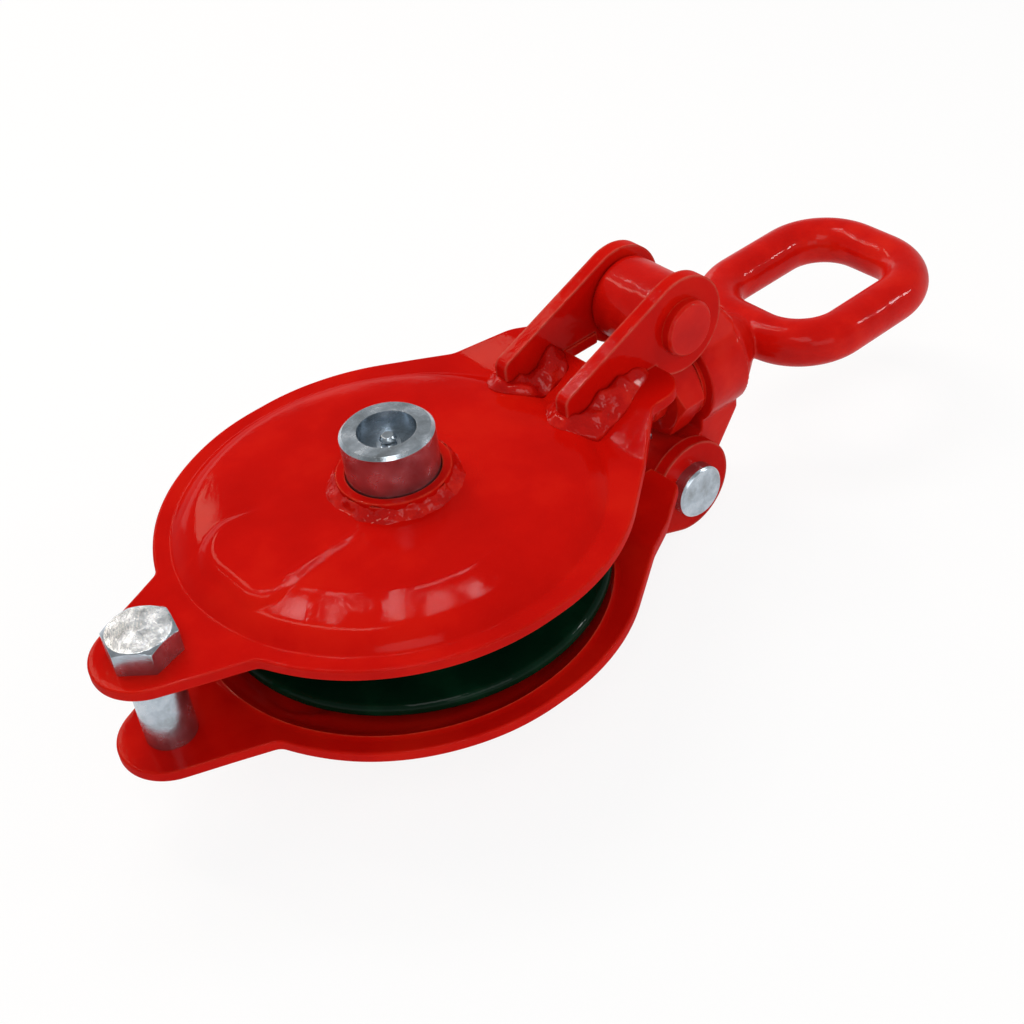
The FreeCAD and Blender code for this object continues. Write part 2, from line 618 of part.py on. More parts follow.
def nut(name, width, bore, low, high, role="XY_Plane", turn="0"):
    """A hexagon nut along the normal of that plane, with its corners chamfered at both ends."""
    piece = body(name)
    face = sketch(piece, "face", role, out=low)
    hexagon(face, width, turn)
    pad(piece, "hexagon", face, f"({high}) - ({low})")
    chamfer_corners(piece, width, low, high, role)
    hole = sketch(piece, "bore", role)
    circle(hole, "0", "0", bore)
    pocket(piece, "bore", hole)
    return piece


def chamfer_corners(piece, width, low, high, role, ends=("low", "high")):
    """Turn the corners of a hexagon off at thirty degrees."""
    inner = f"({width}) / 2 * {CORNER_KEPT}"
    outer = f"({width}) / 2 * {CORNER_CUT}"
    drop = f"({outer} - {inner}) * tan({CORNER_ANGLE})"
    along_x = role == "YZ_Plane"
    for end, level, inward in (("low", low, 1), ("high", high, -1)):
        if end in ends:
            corners = [(inner, level), (outer, level), (outer, f"({level}) + {inward} * {drop}")]
            waste = sketch(piece, f"{end}_corners", "XZ_Plane")
            outline(waste, [(y, x) for x, y in corners] if along_x else corners)
            revolve(piece, f"{end}_corners", waste, "H_Axis" if along_x else "V_Axis", cut=True)


def axle():
    """The sheave's axle: greasing recess in its top, shoulder above the lower cheek, threaded end."""
    top = f"({RING_TOP} + axle_boss_height)"
    floor = f"({top} - boss_recess_depth)"
    piece = turned_piece("axle", [
        ("0", f"-{FOOT}"), ("axle_end_diameter / 2 - boss_edge", f"-{FOOT}"),
        ("axle_end_diameter / 2", f"-{FOOT} + boss_edge"), ("axle_end_diameter / 2", f"-{DOME_IN}"),
        ("axle_diameter / 2", f"-{DOME_IN}"), ("axle_diameter / 2", f"{top} - boss_edge"),
        ("axle_diameter / 2 - boss_edge", top), ("boss_recess_diameter / 2", top),
        ("boss_recess_diameter / 2", floor), ("0", floor)])
    shaft = sketch(piece, "grease", "XZ_Plane")
    outline(shaft, [("0", "-grease_bore"), ("grease_bore / 2", "-grease_bore"),
                    ("grease_bore / 2", f"{floor} - nipple_thread"),
                    ("nipple_thread / 2", f"{floor} - nipple_thread"), ("nipple_thread / 2", f"2 * {top}"),
                    ("0", f"2 * {top}")])
    revolve(piece, "grease_shaft", shaft, cut=True)
    outlet = sketch(piece, "outlet", "XZ_Plane")
    circle(outlet, "0", "0", "grease_bore / 2")
    pocket(piece, "grease_outlet", outlet)
    return settle(piece)


def grease_nipple():
    """A grease nipple screwed into the recess's floor."""
    floor = f"({RING_TOP} + axle_boss_height - boss_recess_depth)"
    top = f"({floor} + nipple_height)"
    piece = turned_piece("grease_nipple", [
        ("0", f"{floor} - nipple_thread"), ("nipple_thread / 2", f"{floor} - nipple_thread"),
        ("nipple_thread / 2", f"{floor} + nipple_height / 3"),
        ("nipple_head / 3", f"{floor} + nipple_height / 2"),
        ("nipple_head / 2", f"{top} - nipple_height / 4"), ("nipple_head / 3", top), ("0", top)])
    face = sketch(piece, "face", "XY_Plane", out=floor)
    hexagon(face, "nipple_width")
    pad(piece, "hexagon", face, "nipple_height / 3")
    return settle(piece)


def sheave():
    """The sheave: hub, web, and a rim with a round-bottomed rope groove."""
    side = [("bush_diameter / 2", HUB_HALF), ("sheave_hub_diameter / 2", HUB_HALF, "pin_edge"),
            ("sheave_hub_diameter / 2", "web_thickness / 2", "web_rounding"),
            ("rim_foot_radius", "web_thickness / 2", "web_rounding"),
            ("rim_foot_radius + web_rounding", "rim_foot_width / 2", "crest_rounding"),
            ("sheave_diameter / 2", "rim_width / 2", "crest_rounding")]
    other = [(corner[0], f"-{corner[1]}", *corner[2:]) for corner in reversed(side)]
    piece = turned_piece("sheave", side + other)

    groove = sketch(piece, "groove", "XZ_Plane")
    radius = at("rope_diameter / 2 + groove_clearance")
    centre = V(at("sheave_diameter / 2 - groove_depth + rope_diameter / 2 + groove_clearance"), 0, 0)
    past = at("sheave_diameter / 2 + crest_rounding")
    rim = at("sheave_diameter / 2")
    half_mouth = at("groove_mouth / 2")
    line = V(rim, half_mouth, 0) - centre
    angle = math.atan2(line.y, line.x) + math.acos(radius / line.Length)
    touch = centre + V(math.cos(angle), math.sin(angle), 0) * radius
    spread = touch.y + (past - touch.x) * (half_mouth - touch.y) / (rim - touch.x)
    bottom = Part.Circle(centre, V(0, 0, 1), radius)
    groove.addGeometry(Part.ArcOfCircle(bottom, angle, 2 * math.pi - angle), False)
    groove.addGeometry(Part.LineSegment(V(touch.x, -touch.y, 0), V(past, -spread, 0)), False)
    groove.addGeometry(Part.LineSegment(V(past, -spread, 0), V(past, spread, 0)), False)
    groove.addGeometry(Part.LineSegment(V(past, spread, 0), touch), False)
    for before, end, after, start, kind in ((0, 2, 1, 1, "Tangent"), (1, 2, 2, 1, "Coincident"),
                                            (2, 2, 3, 1, "Coincident"), (3, 2, 0, 1, "Tangent")):
        groove.addConstraint(Sketcher.Constraint(kind, before, end, after, start))
    pin_point(groove, 0, 3, "sheave_diameter / 2 - groove_depth + rope_diameter / 2 + groove_clearance", "0")
    size(groove, "Radius", 0, "rope_diameter / 2 + groove_clearance")
    groove.addConstraint(Sketcher.Constraint("Vertical", 2))
    size(groove, "DistanceX", -1, 1, 2, 1, "sheave_diameter / 2 + crest_rounding")
    for number, sign in ((1, "-"), (3, "")):
        mouth = groove.addGeometry(Part.Point(V(rim, half_mouth if sign == "" else -half_mouth, 0)), True)
        groove.addConstraint(Sketcher.Constraint("PointOnObject", mouth, 1, number))
        pin_point(groove, mouth, 1, "sheave_diameter / 2", f"{sign}groove_mouth / 2")
    revolve(piece, "groove", groove, cut=True)
    round_edges(piece, "crests", f"crest_rounding * {CREST_SHARE}",
                lambda item: abs(item.BoundBox.ZLength) < NEARLY
                and abs(item.Length - 2 * math.pi * rim) < NEARLY
                and abs(item.BoundBox.ZMin) < half_mouth + NEARLY)
    return settle(piece)


def crosshead():
    """The forged crosshead: two barrels for the hinge pins, joined by a block with the swivel's hub."""
    piece = body("crosshead")
    barrel = "(lug_spacing - 2 * barrel_clearance)"
    front = ("pin_reach + barrel_radius * cos(crosshead_front_angle)",
             "pin_height + barrel_radius * sin(crosshead_front_angle)")
    rear = ("pin_reach + barrel_radius * cos(crosshead_rear_angle)",
            "pin_height - barrel_radius * sin(crosshead_rear_angle)")
    hub = "crosshead_hub_radius"
    upper = [rear, ("pin_reach", "pin_height"), front, ("crosshead_front", f"{hub} + pin_edge")]
    lower = [(x, f"-({y})") for x, y in reversed(upper)]
    block = sketch(piece, "block", "XZ_Plane")
    outline(block, upper + lower + [("crosshead_rear", f"-{hub}"), ("crosshead_rear", hub)])
    pad(piece, "block", block, barrel, both_ways=True)
    barrels = sketch(piece, "barrels", "XZ_Plane")
    for height in ("pin_height", "-pin_height"):
        circle(barrels, "pin_reach", height, "barrel_radius")
    pad(piece, "barrels", barrels, barrel, both_ways=True)
    boss = sketch(piece, "boss", "YZ_Plane", out="crosshead_rear")
    circle(boss, "0", "0", hub)
    pad(piece, "boss", boss, "crosshead_front - crosshead_rear")
    half = at(barrel) / 2
    front_edge = at("crosshead_front")
    low, high = at(f"{hub} + pin_edge"), at(front[1])
    round_edges(piece, "flanks", "crosshead_rounding",
                lambda item: abs(abs(item.BoundBox.YMin) - half) < NEARLY and item.BoundBox.YLength < NEARLY
                and item.BoundBox.XMax > front_edge - NEARLY and item.BoundBox.XLength > 1
                and low - NEARLY < max(abs(item.BoundBox.ZMin), abs(item.BoundBox.ZMax)) < high + NEARLY)
    holes = sketch(piece, "pin_holes", "XZ_Plane")
    for height in ("pin_height", "-pin_height"):
        circle(holes, "pin_reach", height, "pin_diameter / 2 + pin_clearance")
    pocket(piece, "pin_holes", holes)
    bore = sketch(piece, "stem_hole", "YZ_Plane")
    circle(bore, "0", "0", "stem_diameter / 2 + stem_clearance")
    pocket(piece, "stem_hole", bore)
    return settle(piece)


def hinge_pin(name, height, head_height, wire, role):
    """A headed pin with a cross hole beyond its washer, drilled level or upright."""
    piece = turned_piece(name, [
        ("0", f"-{LUG_OUT} - {head_height}"),
        ("pin_head_diameter / 2 - pin_edge", f"-{LUG_OUT} - {head_height}"),
        ("pin_head_diameter / 2", f"-{LUG_OUT} - {head_height} + pin_edge"),
        ("pin_head_diameter / 2", f"-{LUG_OUT}"), ("pin_diameter / 2", f"-{LUG_OUT}"),
        ("pin_diameter / 2", f"{PIN_END} - pin_edge"), ("pin_diameter / 2 - pin_edge", PIN_END),
        ("0", PIN_END)], "XY_Plane", across="pin_reach", out=height)
    hole = sketch(piece, "cross_hole", role)
    place = (CROSS_HOLE, height) if role == "YZ_Plane" else ("pin_reach", CROSS_HOLE)
    circle(hole, *place, f"{wire} / 2 + wire_hole_clearance")
    pocket(piece, "cross_hole", hole)
    return settle(piece)


def pin_washer(name, height):
    return settle(turned_piece(name, tube_corners(
        "pin_diameter / 2 + pin_clearance", "pin_washer_diameter / 2", LUG_OUT, WASHER_OUT),
        "XY_Plane", across="pin_reach", out=height))


def split_pin(name, shaft, wire, centre, level):
    """A split pin through a shaft: a round eye at one end, two spread legs at the other.

    A level one lies along X and its legs spread up and down; the other stands, with its legs along Y.
    """
    piece = body(name)
    x, y, z = centre
    spread = wire
    tip = f"({shaft} + {wire} * 2.2)"
    strand = f"({wire} / 4)"
    bend = f"{wire} / 2"
    leg = [(spread, f"-{tip}"), (spread, f"-({shaft}) - {wire} * 1.7", bend),
           (strand, f"-({shaft}) - {wire} * 0.4", bend), (strand, f"({shaft}) + {wire} * 0.4", bend),
           (f"{wire} * 1.1", f"({shaft}) + {wire} * 1.2", bend),
           (f"{wire} * 0.8", f"({shaft}) + {wire} * 2.3", bend)]
    other = [(f"-({corner[0]})", *corner[1:]) for corner in reversed(leg)]
    strands = leg + other
    if level:
        path = sketch(piece, "path", "XZ_Plane", across=x, up=z, out=f"-({y})")
        strands = [(corner[1], corner[0], *corner[2:]) for corner in strands]
        section = ("YZ_Plane", y, f"{z} + {spread}", f"{x} - {tip}")
    else:
        path = sketch(piece, "path", "YZ_Plane", across=y, up=z, out=x)
        section = ("XY_Plane", x, f"{y} + {spread}", f"{z} - {tip}")
    outline(path, strands, closed=False)
    sweep(piece, "wire", path, f"{wire} / 2 * {OPEN_WIRE}", *section)
    return settle(piece)


def spring_clip():
    """A spring clip in the lower hinge pin: a straight leg through the pin and a bowed leg beside it."""
    piece = body("spring_clip")
    shaft = "(pin_diameter / 2)"
    aside = f"({shaft} + clip_clearance + clip_wire / 2)"
    top = f"({shaft} + clip_wire * 4.5)"
    tip = f"({shaft} + clip_wire * 1.3)"
    bow = "clip_wire * 1.7"
    path = sketch(piece, "path", "XZ_Plane", across="pin_reach", up="-pin_height", out=f"-{CROSS_HOLE}")
    outline(path, [
        ("0", f"-{tip}"), ("0", top, bow), (f"{aside} + clip_wire / 2", top, bow),
        (f"{aside} * 0.62", f"{shaft} + clip_wire * 2", "clip_wire"),
        (aside, f"{shaft} * 0.9", bow), (aside, f"-{shaft} * 0.6", bow),
        (f"{aside} + clip_wire * 0.8", f"-{shaft} * 1.3")], closed=False)
    sweep(piece, "wire", path, "clip_wire", "XY_Plane", "pin_reach", CROSS_HOLE, out=f"-pin_height - {tip}")
    return settle(piece)


def swivel_eye():
    """The forged eye: a round bar bent to a rounded oblong ring, with a collar and a stem."""
    piece = body("swivel_eye")
    side = "eye_width / 2"
    path = sketch(piece, "path", "XY_Plane")
    outline(path, [
        ("eye_end", "0"), ("eye_end", side, "eye_corner_radius"), ("eye_start", side, "eye_corner_radius"),
        ("eye_start", f"-{side}", "eye_corner_radius"), ("eye_end", f"-{side}", "eye_corner_radius")])
    sweep(piece, "ring", path, "eye_bar", "XZ_Plane", "eye_end", "0")
    stem = sketch(piece, "stem", "XZ_Plane")
    outline(stem, [
        ("stem_tip", "0"), ("stem_tip", "stem_diameter / 2 - boss_edge"),
        ("stem_tip + boss_edge", "stem_diameter / 2"), (NECK_BACK, "stem_diameter / 2"),
        (NECK_BACK, "neck_radius"), (f"{NECK_BACK} + neck_collar", "neck_radius", "neck_collar"),
        ("eye_start - eye_bar / 4", "eye_bar / 2 * 0.95"), ("eye_start", "0")])
    revolve(piece, "stem", stem, "H_Axis")
    hole = sketch(piece, "stem_hole", "XY_Plane")
    circle(hole, "stem_tip + stem_hole_inset", "0", "stem_wire / 2 + wire_hole_clearance")
    pocket(piece, "stem_hole", hole)
    return settle(piece)


def tail_bolt():
    """The hexagon bolt that ties both tails together."""
    piece = turned_piece("tail_bolt", [
        ("0", f"-{PLATE_TOP} - tail_nut_height - tail_bolt_end"),
        ("tail_bolt_diameter / 2 - boss_edge", f"-{PLATE_TOP} - tail_nut_height - tail_bolt_end"),
        ("tail_bolt_diameter / 2", f"-{PLATE_TOP} - tail_nut_height - tail_bolt_end + boss_edge"),
        ("tail_bolt_diameter / 2", PLATE_TOP), ("0", PLATE_TOP)])
    face = sketch(piece, "face", "XY_Plane", out=PLATE_TOP)
    hexagon(face, "tail_bolt_head_width", "tail_bolt_turn")
    pad(piece, "head", face, "tail_bolt_head_height")
    chamfer_corners(piece, "tail_bolt_head_width", PLATE_TOP, f"{PLATE_TOP} + tail_bolt_head_height",
                    "XY_Plane", ends=("high",))
    return piece


nodes = []
for level, turned, hole in (("upper", False, "axle_diameter / 2 + ring_clearance"),
                            ("lower", True, "axle_end_diameter / 2 + ring_clearance")):
    plate = cheek(f"{level}_cheek", hole, turned)
    nodes += [plate, hub_ring(f"{level}_hub_ring", hole, turned), hub_weld(f"{level}_hub_weld", turned)]
    for place, side in (("near", 1), ("far", -1)):
        plain_lug = lug(f"{level}_{place}_lug", plate, -side if turned else side, turned)
        bead = lug_weld(f"{level}_{place}_weld", plate, plain_lug, -side if turned else side, turned)
        nodes += [plain_lug, bead]
    height = "-pin_height" if turned else "pin_height"
    head_height, wire, role = (("lower_head_height", "clip_wire", "XY_Plane") if turned
                               else ("pin_head_height", "pin_wire", "YZ_Plane"))
    nodes += [hinge_pin(f"{level}_hinge_pin", height, head_height, wire, role),
              pin_washer(f"{level}_pin_washer", height)]
    washer = turned_piece(f"{level}_thrust_washer", tube_corners(
        "axle_diameter / 2 + ring_clearance", "thrust_washer_diameter / 2",
        f"{DOME_IN} - thrust_washer_thickness", DOME_IN))
    nodes.append(settle(washer, turned))
nodes += [axle(), grease_nipple(), sheave(), crosshead(), spring_clip(), swivel_eye()]
nodes.append(settle(nut("axle_nut", "axle_nut_width", "axle_end_diameter / 2 + thread_clearance",
                        f"-{FOOT}", f"-{RING_TOP}")))
nodes.append(settle(turned_piece("sheave_bush", tube_corners(
    "axle_diameter / 2 + bush_clearance", "bush_diameter / 2", f"-{HUB_HALF}", HUB_HALF))))
nodes.append(split_pin("upper_split_pin", "pin_diameter / 2", "pin_wire",
                       ("pin_reach", CROSS_HOLE, "pin_height"), True))
nodes.append(split_pin("stem_split_pin", "stem_diameter / 2", "stem_wire",
                       ("stem_tip + stem_hole_inset", "0", "0"), False))
nodes.append(settle(nut("stem_nut", "stem_nut_width", "stem_diameter / 2 + thread_clearance",
                        f"{NUT_FRONT} - stem_nut_height", NUT_FRONT, "YZ_Plane")))
nodes.append(settle(turned_piece("swivel_washer", [
    ("crosshead_rear - swivel_washer_thickness", "stem_diameter / 2 + stem_clearance"),
    ("crosshead_rear - swivel_washer_thickness", "swivel_washer_diameter / 2"),
    ("crosshead_rear", "swivel_washer_diameter / 2"),
    ("crosshead_rear", "stem_diameter / 2 + stem_clearance")], axis="H_Axis")))

tail_parts = [
    turned_piece("spacer_tube", tube_corners("spacer_bore / 2", "spacer_diameter / 2",
                                             f"-{PLATE_IN}", PLATE_IN)),
    nut("tail_nut", "tail_bolt_head_width", "tail_bolt_diameter / 2 + thread_clearance",
        f"-{PLATE_TOP} - tail_nut_height", f"-{PLATE_TOP}", turn="tail_bolt_turn"),
    tail_bolt()]
for piece in tail_parts:
    piece.setExpression("Placement.Base.x", named("-tail_reach"))
    nodes.append(settle(piece))

doc.recompute()
for item in doc.Objects:
    if "Invalid" in item.State or "Error" in item.State:
        raise RuntimeError(f"{item.Name} failed: {item.State}")
for node in nodes:
    if node.Shape.isNull() or not node.Shape.isValid() or len(node.Shape.Solids) != 1:
        raise RuntimeError(f"{node.Label} is not one sound solid")
os.makedirs("parts", exist_ok=True)
for node in nodes:
    node.Shape.exportStep(f"parts/{node.Label}.step")
print(len(nodes), "pieces")
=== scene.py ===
"""The finished look of the snatch block: pressed red cheeks, welded lugs, forged eye and crosshead,
green sheave and zinc-plated fastenings, on a plain white floor."""
import math

import bmesh
import bpy
from mathutils import Matrix, Vector, noise


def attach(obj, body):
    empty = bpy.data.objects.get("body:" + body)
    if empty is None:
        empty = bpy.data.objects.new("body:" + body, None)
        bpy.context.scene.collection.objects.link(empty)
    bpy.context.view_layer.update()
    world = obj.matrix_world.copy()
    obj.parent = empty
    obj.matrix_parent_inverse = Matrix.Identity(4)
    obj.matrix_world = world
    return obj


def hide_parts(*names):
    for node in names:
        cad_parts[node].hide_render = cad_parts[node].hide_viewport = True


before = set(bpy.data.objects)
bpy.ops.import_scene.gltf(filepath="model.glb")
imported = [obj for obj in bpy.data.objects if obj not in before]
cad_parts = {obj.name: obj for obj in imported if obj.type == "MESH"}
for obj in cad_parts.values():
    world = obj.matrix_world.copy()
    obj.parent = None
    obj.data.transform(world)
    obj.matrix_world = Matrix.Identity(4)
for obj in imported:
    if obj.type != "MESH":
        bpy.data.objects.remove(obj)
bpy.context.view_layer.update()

# The cheeks and the welds are shaped in millimetres, about the axle's centre line and the sheave's
# mid-plane: x towards the eye, y towards the far side, z up. All sizes are the upper cheek's, and the
# lower cheek is the same pressing turned over. The other pieces, the lamps and the camera are in metres.
MILLIMETRE = 0.001
MID_PLANE = 60.5
WALL = 4.5
AXLE_HOLES = {"upper": 17.8, "lower": 15.3}

# Each side of the block, with 1 for a piece as it is pressed and -1 for one that is turned over.
LEVELS = (("upper", 1), ("lower", -1))

# The dome: the radii about its centre at which its slope changes, and its height at each.
DOME_CENTRE = -4.5
DOME_TOP = 30.2
DOME_FLAT = 32.0
CROWN_RADIUS = 57.0
CROWN_TOP = 29.3
SHOULDER_RADIUS = 74.0
SHOULDER_TOP = 27.05
FOOT_RADIUS = 80.5
PLATE_TOP = 22.0

# The outline: a round cheek, the tail's lobe, the necks between them, and a head that is wider on
# the near side, with a notch between the lugs.
CHEEK_RADIUS = 87.5
TAIL = -110.0
TAIL_LOBE = 20.0
TAIL_HOLE = 8.5
NECK = 32.0
HEAD = 112.5
HEAD_NEAR = 38.5
HEAD_FAR = 29.0
HEAD_CORNER = 93.0
HEAD_ROUNDING = 12.0
FAR_ROUNDING = 5.0
INSIDE_ROUNDING = 6.0
NOTCH = 96.0
NOTCH_HALF = 13.5
RIM_ROUNDING = 0.9

# The ramp up to the head.
RAMP_START = 72.0
RAMP_END = 92.0
RAMP_RISE = 7.5

# The rib towards the tail: where it leaves the crown and where it flares, then its half widths on
# each side by the crown and by the tail, and the rounding of its corners.
RIB_ROOT = -24.0
RIB_SINK = -30.0
RIB_SINK_SLOPE = 0.9
RIB_FLARE = (42.0, 60.0)
RIB_END = -73.0
RIB_TOP = 30.1
RIB_RIDGE = -13.5
RIB_NEAR = 18.5
RIB_NEAR_CORNER = 9.0
RIB_STEM = 24.0
RIB_FAR = 30.0
RIB_FAR_CORNER = 21.0

# The feet of the lugs and of the hub ring, where the welds are.
LUG_MIDDLE = 17.5
LUG_HALF = 3.0
LUG_REAR = 69.0
RING_RADIUS = 21.5

# The cheek's mesh: its spokes about the dome's centre, and its rings from the bore outwards. Each
# stage is the radius it ends at and its number of rings on the top and on the underside.
SPOKES = 620
SPOKE_TURNS = [2 * math.pi * spoke / SPOKES for spoke in range(SPOKES)]
STAGES = ((24.0, 1, 1), (37.0, 22, 2), (54.0, 5, 3), (60.0, 12, 2), (68.0, 5, 3), (77.0, 11, 4),
          (83.5, 11, 5))
FLANGE_RINGS = (18, 9)
RIM_RINGS = 3


# Making pieces.

def settled(bm):
    """From millimetres about the mid-plane to metres on the floor."""
    bmesh.ops.translate(bm, vec=(0, 0, MID_PLANE), verts=bm.verts)
    bmesh.ops.scale(bm, vec=(MILLIMETRE, MILLIMETRE, MILLIMETRE), verts=bm.verts)
    return bm


def turned_over(bm, sense):
    """Settle an upper piece as it is, or turn it over to be the lower one."""
    if sense < 0:
        bmesh.ops.rotate(bm, cent=(0, 0, 0), matrix=Matrix.Rotation(math.pi, 3, "X"), verts=bm.verts)
    return settled(bm)


def piece(bm, name, rides_on, dress, stands_for, crease=32):
    """A finished piece from its mesh: smooth, with its sharp edges kept, and riding on its body."""
    bmesh.ops.recalc_face_normals(bm, faces=bm.faces)
    mesh = bpy.data.meshes.new(name)
    bm.to_mesh(mesh)
    bm.free()
    mesh.polygons.foreach_set("use_smooth", [True] * len(mesh.polygons))
    mesh.set_sharp_from_angle(angle=math.radians(crease))
    made = bpy.data.objects.new(name, mesh)
    bpy.context.scene.collection.objects.link(made)
    made.modifiers.new("level_faces", "WEIGHTED_NORMAL").keep_sharp = True
    bpy.context.view_layer.update()
    ready = made.evaluated_get(bpy.context.evaluated_depsgraph_get())
    made.data = bpy.data.meshes.new_from_object(ready)
    made.modifiers.clear()
    bpy.data.meshes.remove(mesh)
    made.data.name = name
    made.data.materials.append(dress)
    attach(made, rides_on)
    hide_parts(*stands_for)


def shaped(bm, **steps):
    """The mesh after modifiers of these kinds, each with its settings."""
    mesh = bpy.data.meshes.new("rough")
    bm.to_mesh(mesh)
    bm.free()
    rough = bpy.data.objects.new("rough", mesh)
    bpy.context.scene.collection.objects.link(rough)
    for kind, settings in steps.items():
        modifier = rough.modifiers.new(kind, kind.upper())
        for setting, value in settings.items():
            setattr(modifier, setting, value)
    bpy.context.view_layer.update()
    ready = rough.evaluated_get(bpy.context.evaluated_depsgraph_get())
    result = bmesh.new()
    result.from_mesh(ready.to_mesh())
    ready.to_mesh_clear()
    bpy.data.objects.remove(rough)
    bpy.data.meshes.remove(mesh)
    return result


def cast(bm, grain, smoothing):
    """Fuse a mesh into one skin, as a forging has, and smooth it."""
    return shaped(bm, remesh={"mode": "VOXEL", "voxel_size": grain},
                  smooth={"factor": 0.5, "iterations": smoothing})


def cut_away(bm, tool):
    """The mesh less the tool's space."""
    mesh = bpy.data.meshes.new("tool")
    tool.to_mesh(mesh)
    tool.free()
    cutter = bpy.data.objects.new("tool", mesh)
    bpy.context.scene.collection.objects.link(cutter)
    result = shaped(bm, boolean={"operation": "DIFFERENCE", "solver": "EXACT", "object": cutter})
    bpy.data.objects.remove(cutter)
    bpy.data.meshes.remove(mesh)
    return result


def merged_copy(part):
    """A node's mesh with its loose triangles joined."""
    touching = 0.000002
    bm = bmesh.new()
    bm.from_mesh(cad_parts[part].data)
    bmesh.ops.remove_doubles(bm, verts=bm.verts, dist=touching)
    bmesh.ops.recalc_face_normals(bm, faces=bm.faces)
    return bm


def eased(bm, width):
    """Round off every sharp edge a little."""
    sharp_angle = math.radians(28)
    sharp = [edge for edge in bm.edges
             if len(edge.link_faces) == 2 and edge.calc_face_angle() > sharp_angle]
    bmesh.ops.bevel(bm, geom=sharp, offset=width, segments=2, profile=0.5,
                    affect="EDGES", material=-1, clamp_overlap=True)
    return bm


def machined(part, name, rides_on, dress, width):
    """A turned or milled piece: its flat faces made whole and its edges eased."""
    flat_angle = math.radians(0.6)
    bm = merged_copy(part)
    bmesh.ops.dissolve_limit(bm, angle_limit=flat_angle, verts=bm.verts, edges=bm.edges)
    piece(eased(bm, width), name, rides_on, dress, [part])


def turned(profile, steps):
    """A ring or a shaft, spun about the vertical from half of its section."""
    touching = 0.0005
    bm = bmesh.new()
    spots = [bm.verts.new((radius, 0, height)) for radius, height in profile]
    for first, second in zip(spots, spots[1:] + spots[:1]):
        bm.edges.new((first, second))
    bmesh.ops.spin(bm, geom=bm.verts[:] + bm.edges[:], cent=(0, 0, 0), axis=(0, 0, 1),
                   angle=2 * math.pi, steps=steps, use_merge=True)
    bmesh.ops.remove_doubles(bm, verts=bm.verts, dist=touching)
    return bm


def next_ring(bm, edges):
    """The points and the edges of a new ring, extruded from a ring's edges."""
    made = bmesh.ops.extrude_edge_only(bm, edges=edges)["geom"]
    verts = [item for item in made if isinstance(item, bmesh.types.BMVert)]
    ring = set(verts)
    return verts, [item for item in made if isinstance(item, bmesh.types.BMEdge)
                   and item.verts[0] in ring and item.verts[1] in ring]


# Finishes.

def group(name, inputs, outputs):
    """A shared effect with named sockets; an input is a name, a kind and a value."""
    tree = bpy.data.node_groups.new(name, "ShaderNodeTree")
    for label, kind, value in inputs:
        socket = tree.interface.new_socket(label, in_out="INPUT", socket_type=f"NodeSocket{kind}")
        socket.default_value = value
    for label, kind in outputs:
        tree.interface.new_socket(label, in_out="OUTPUT", socket_type=f"NodeSocket{kind}")
    return tree


def node(tree, kind, feeds=(), **settings):
    """A node with its settings, and the links or values of its inputs."""
    made = tree.nodes.new(f"ShaderNode{kind}")
    for setting, value in settings.items():
        setattr(made, setting, value)
    for socket, source in dict(feeds).items():
        if isinstance(source, bpy.types.NodeSocket):
            tree.links.new(source, made.inputs[socket])
        else:
            made.inputs[socket].default_value = source
    return made


def ends(tree):
    """A group's own inputs and outputs."""
    return tree.nodes.new("NodeGroupInput").outputs, tree.nodes.new("NodeGroupOutput").inputs


def object_place(tree):
    """Where on the piece the surface is."""
    return node(tree, "TexCoord").outputs["Object"]


def clouds(tree, place, scale, detail, roughness=0.5):
    """Noise between 0 and 1."""
    made = node(tree, "TexNoise", {"Vector": place, "Scale": scale, "Detail": detail, "Roughness": roughness})
    return made.outputs["Fac"]


def spread(tree, value, low, high, to_low=0.0, to_high=1.0, **settings):
    """A value between two limits, carried over to two others."""
    made = node(tree, "MapRange", {"Value": value, "From Min": low, "From Max": high, "To Min": to_low,
                                   "To Max": to_high}, **settings)
    return made.outputs["Result"]


def worked(tree, operation, first, second, **settings):
    """A sum or a product of two values."""
    return node(tree, "Math", {0: first, 1: second}, operation=operation, **settings).outputs[0]


def blend(tree, share, under, over):
    """One colour laid over another by a share; a Mix node's colour sockets go by their places."""
    under_socket, over_socket, result = 6, 7, 2
    made = node(tree, "Mix", {"Factor": share, under_socket: under, over_socket: over}, data_type="RGBA")
    return made.outputs[result]


def edge_scuff_and_painted_highlight_group():
    """Where the surface turns over an edge: a mask for lighter edges that are partly scuffed paint and partly
    a painted highlight, broken up by noise.
    """
    tree = group("edge_scuff_and_painted_highlight", [("Width", "Float", 0.001), ("Breakup", "Float", 0.5)], [("Mask", "Float")])
    given, out = ends(tree)
    rounding = node(tree, "Bevel", {"Radius": given["Width"]}, samples=6)
    facing = node(tree, "NewGeometry")
    alike = node(tree, "VectorMath", {0: rounding.outputs["Normal"], 1: facing.outputs["Normal"]},
                 operation="DOT_PRODUCT")
    # The edge mask lays lighter colour along sharp edges: partly scuffed paint, partly a painted highlight.
    edge = spread(tree, alike.outputs["Value"], 0.995, 0.9)
    scuff_breakup_noise = clouds(tree, object_place(tree), 260.0, 4.0)
    scuff_breakup = spread(tree, scuff_breakup_noise, 0.35, 0.6, given["Breakup"], 1.0)
    tree.links.new(worked(tree, "MULTIPLY", edge, scuff_breakup), out["Mask"])
    return tree


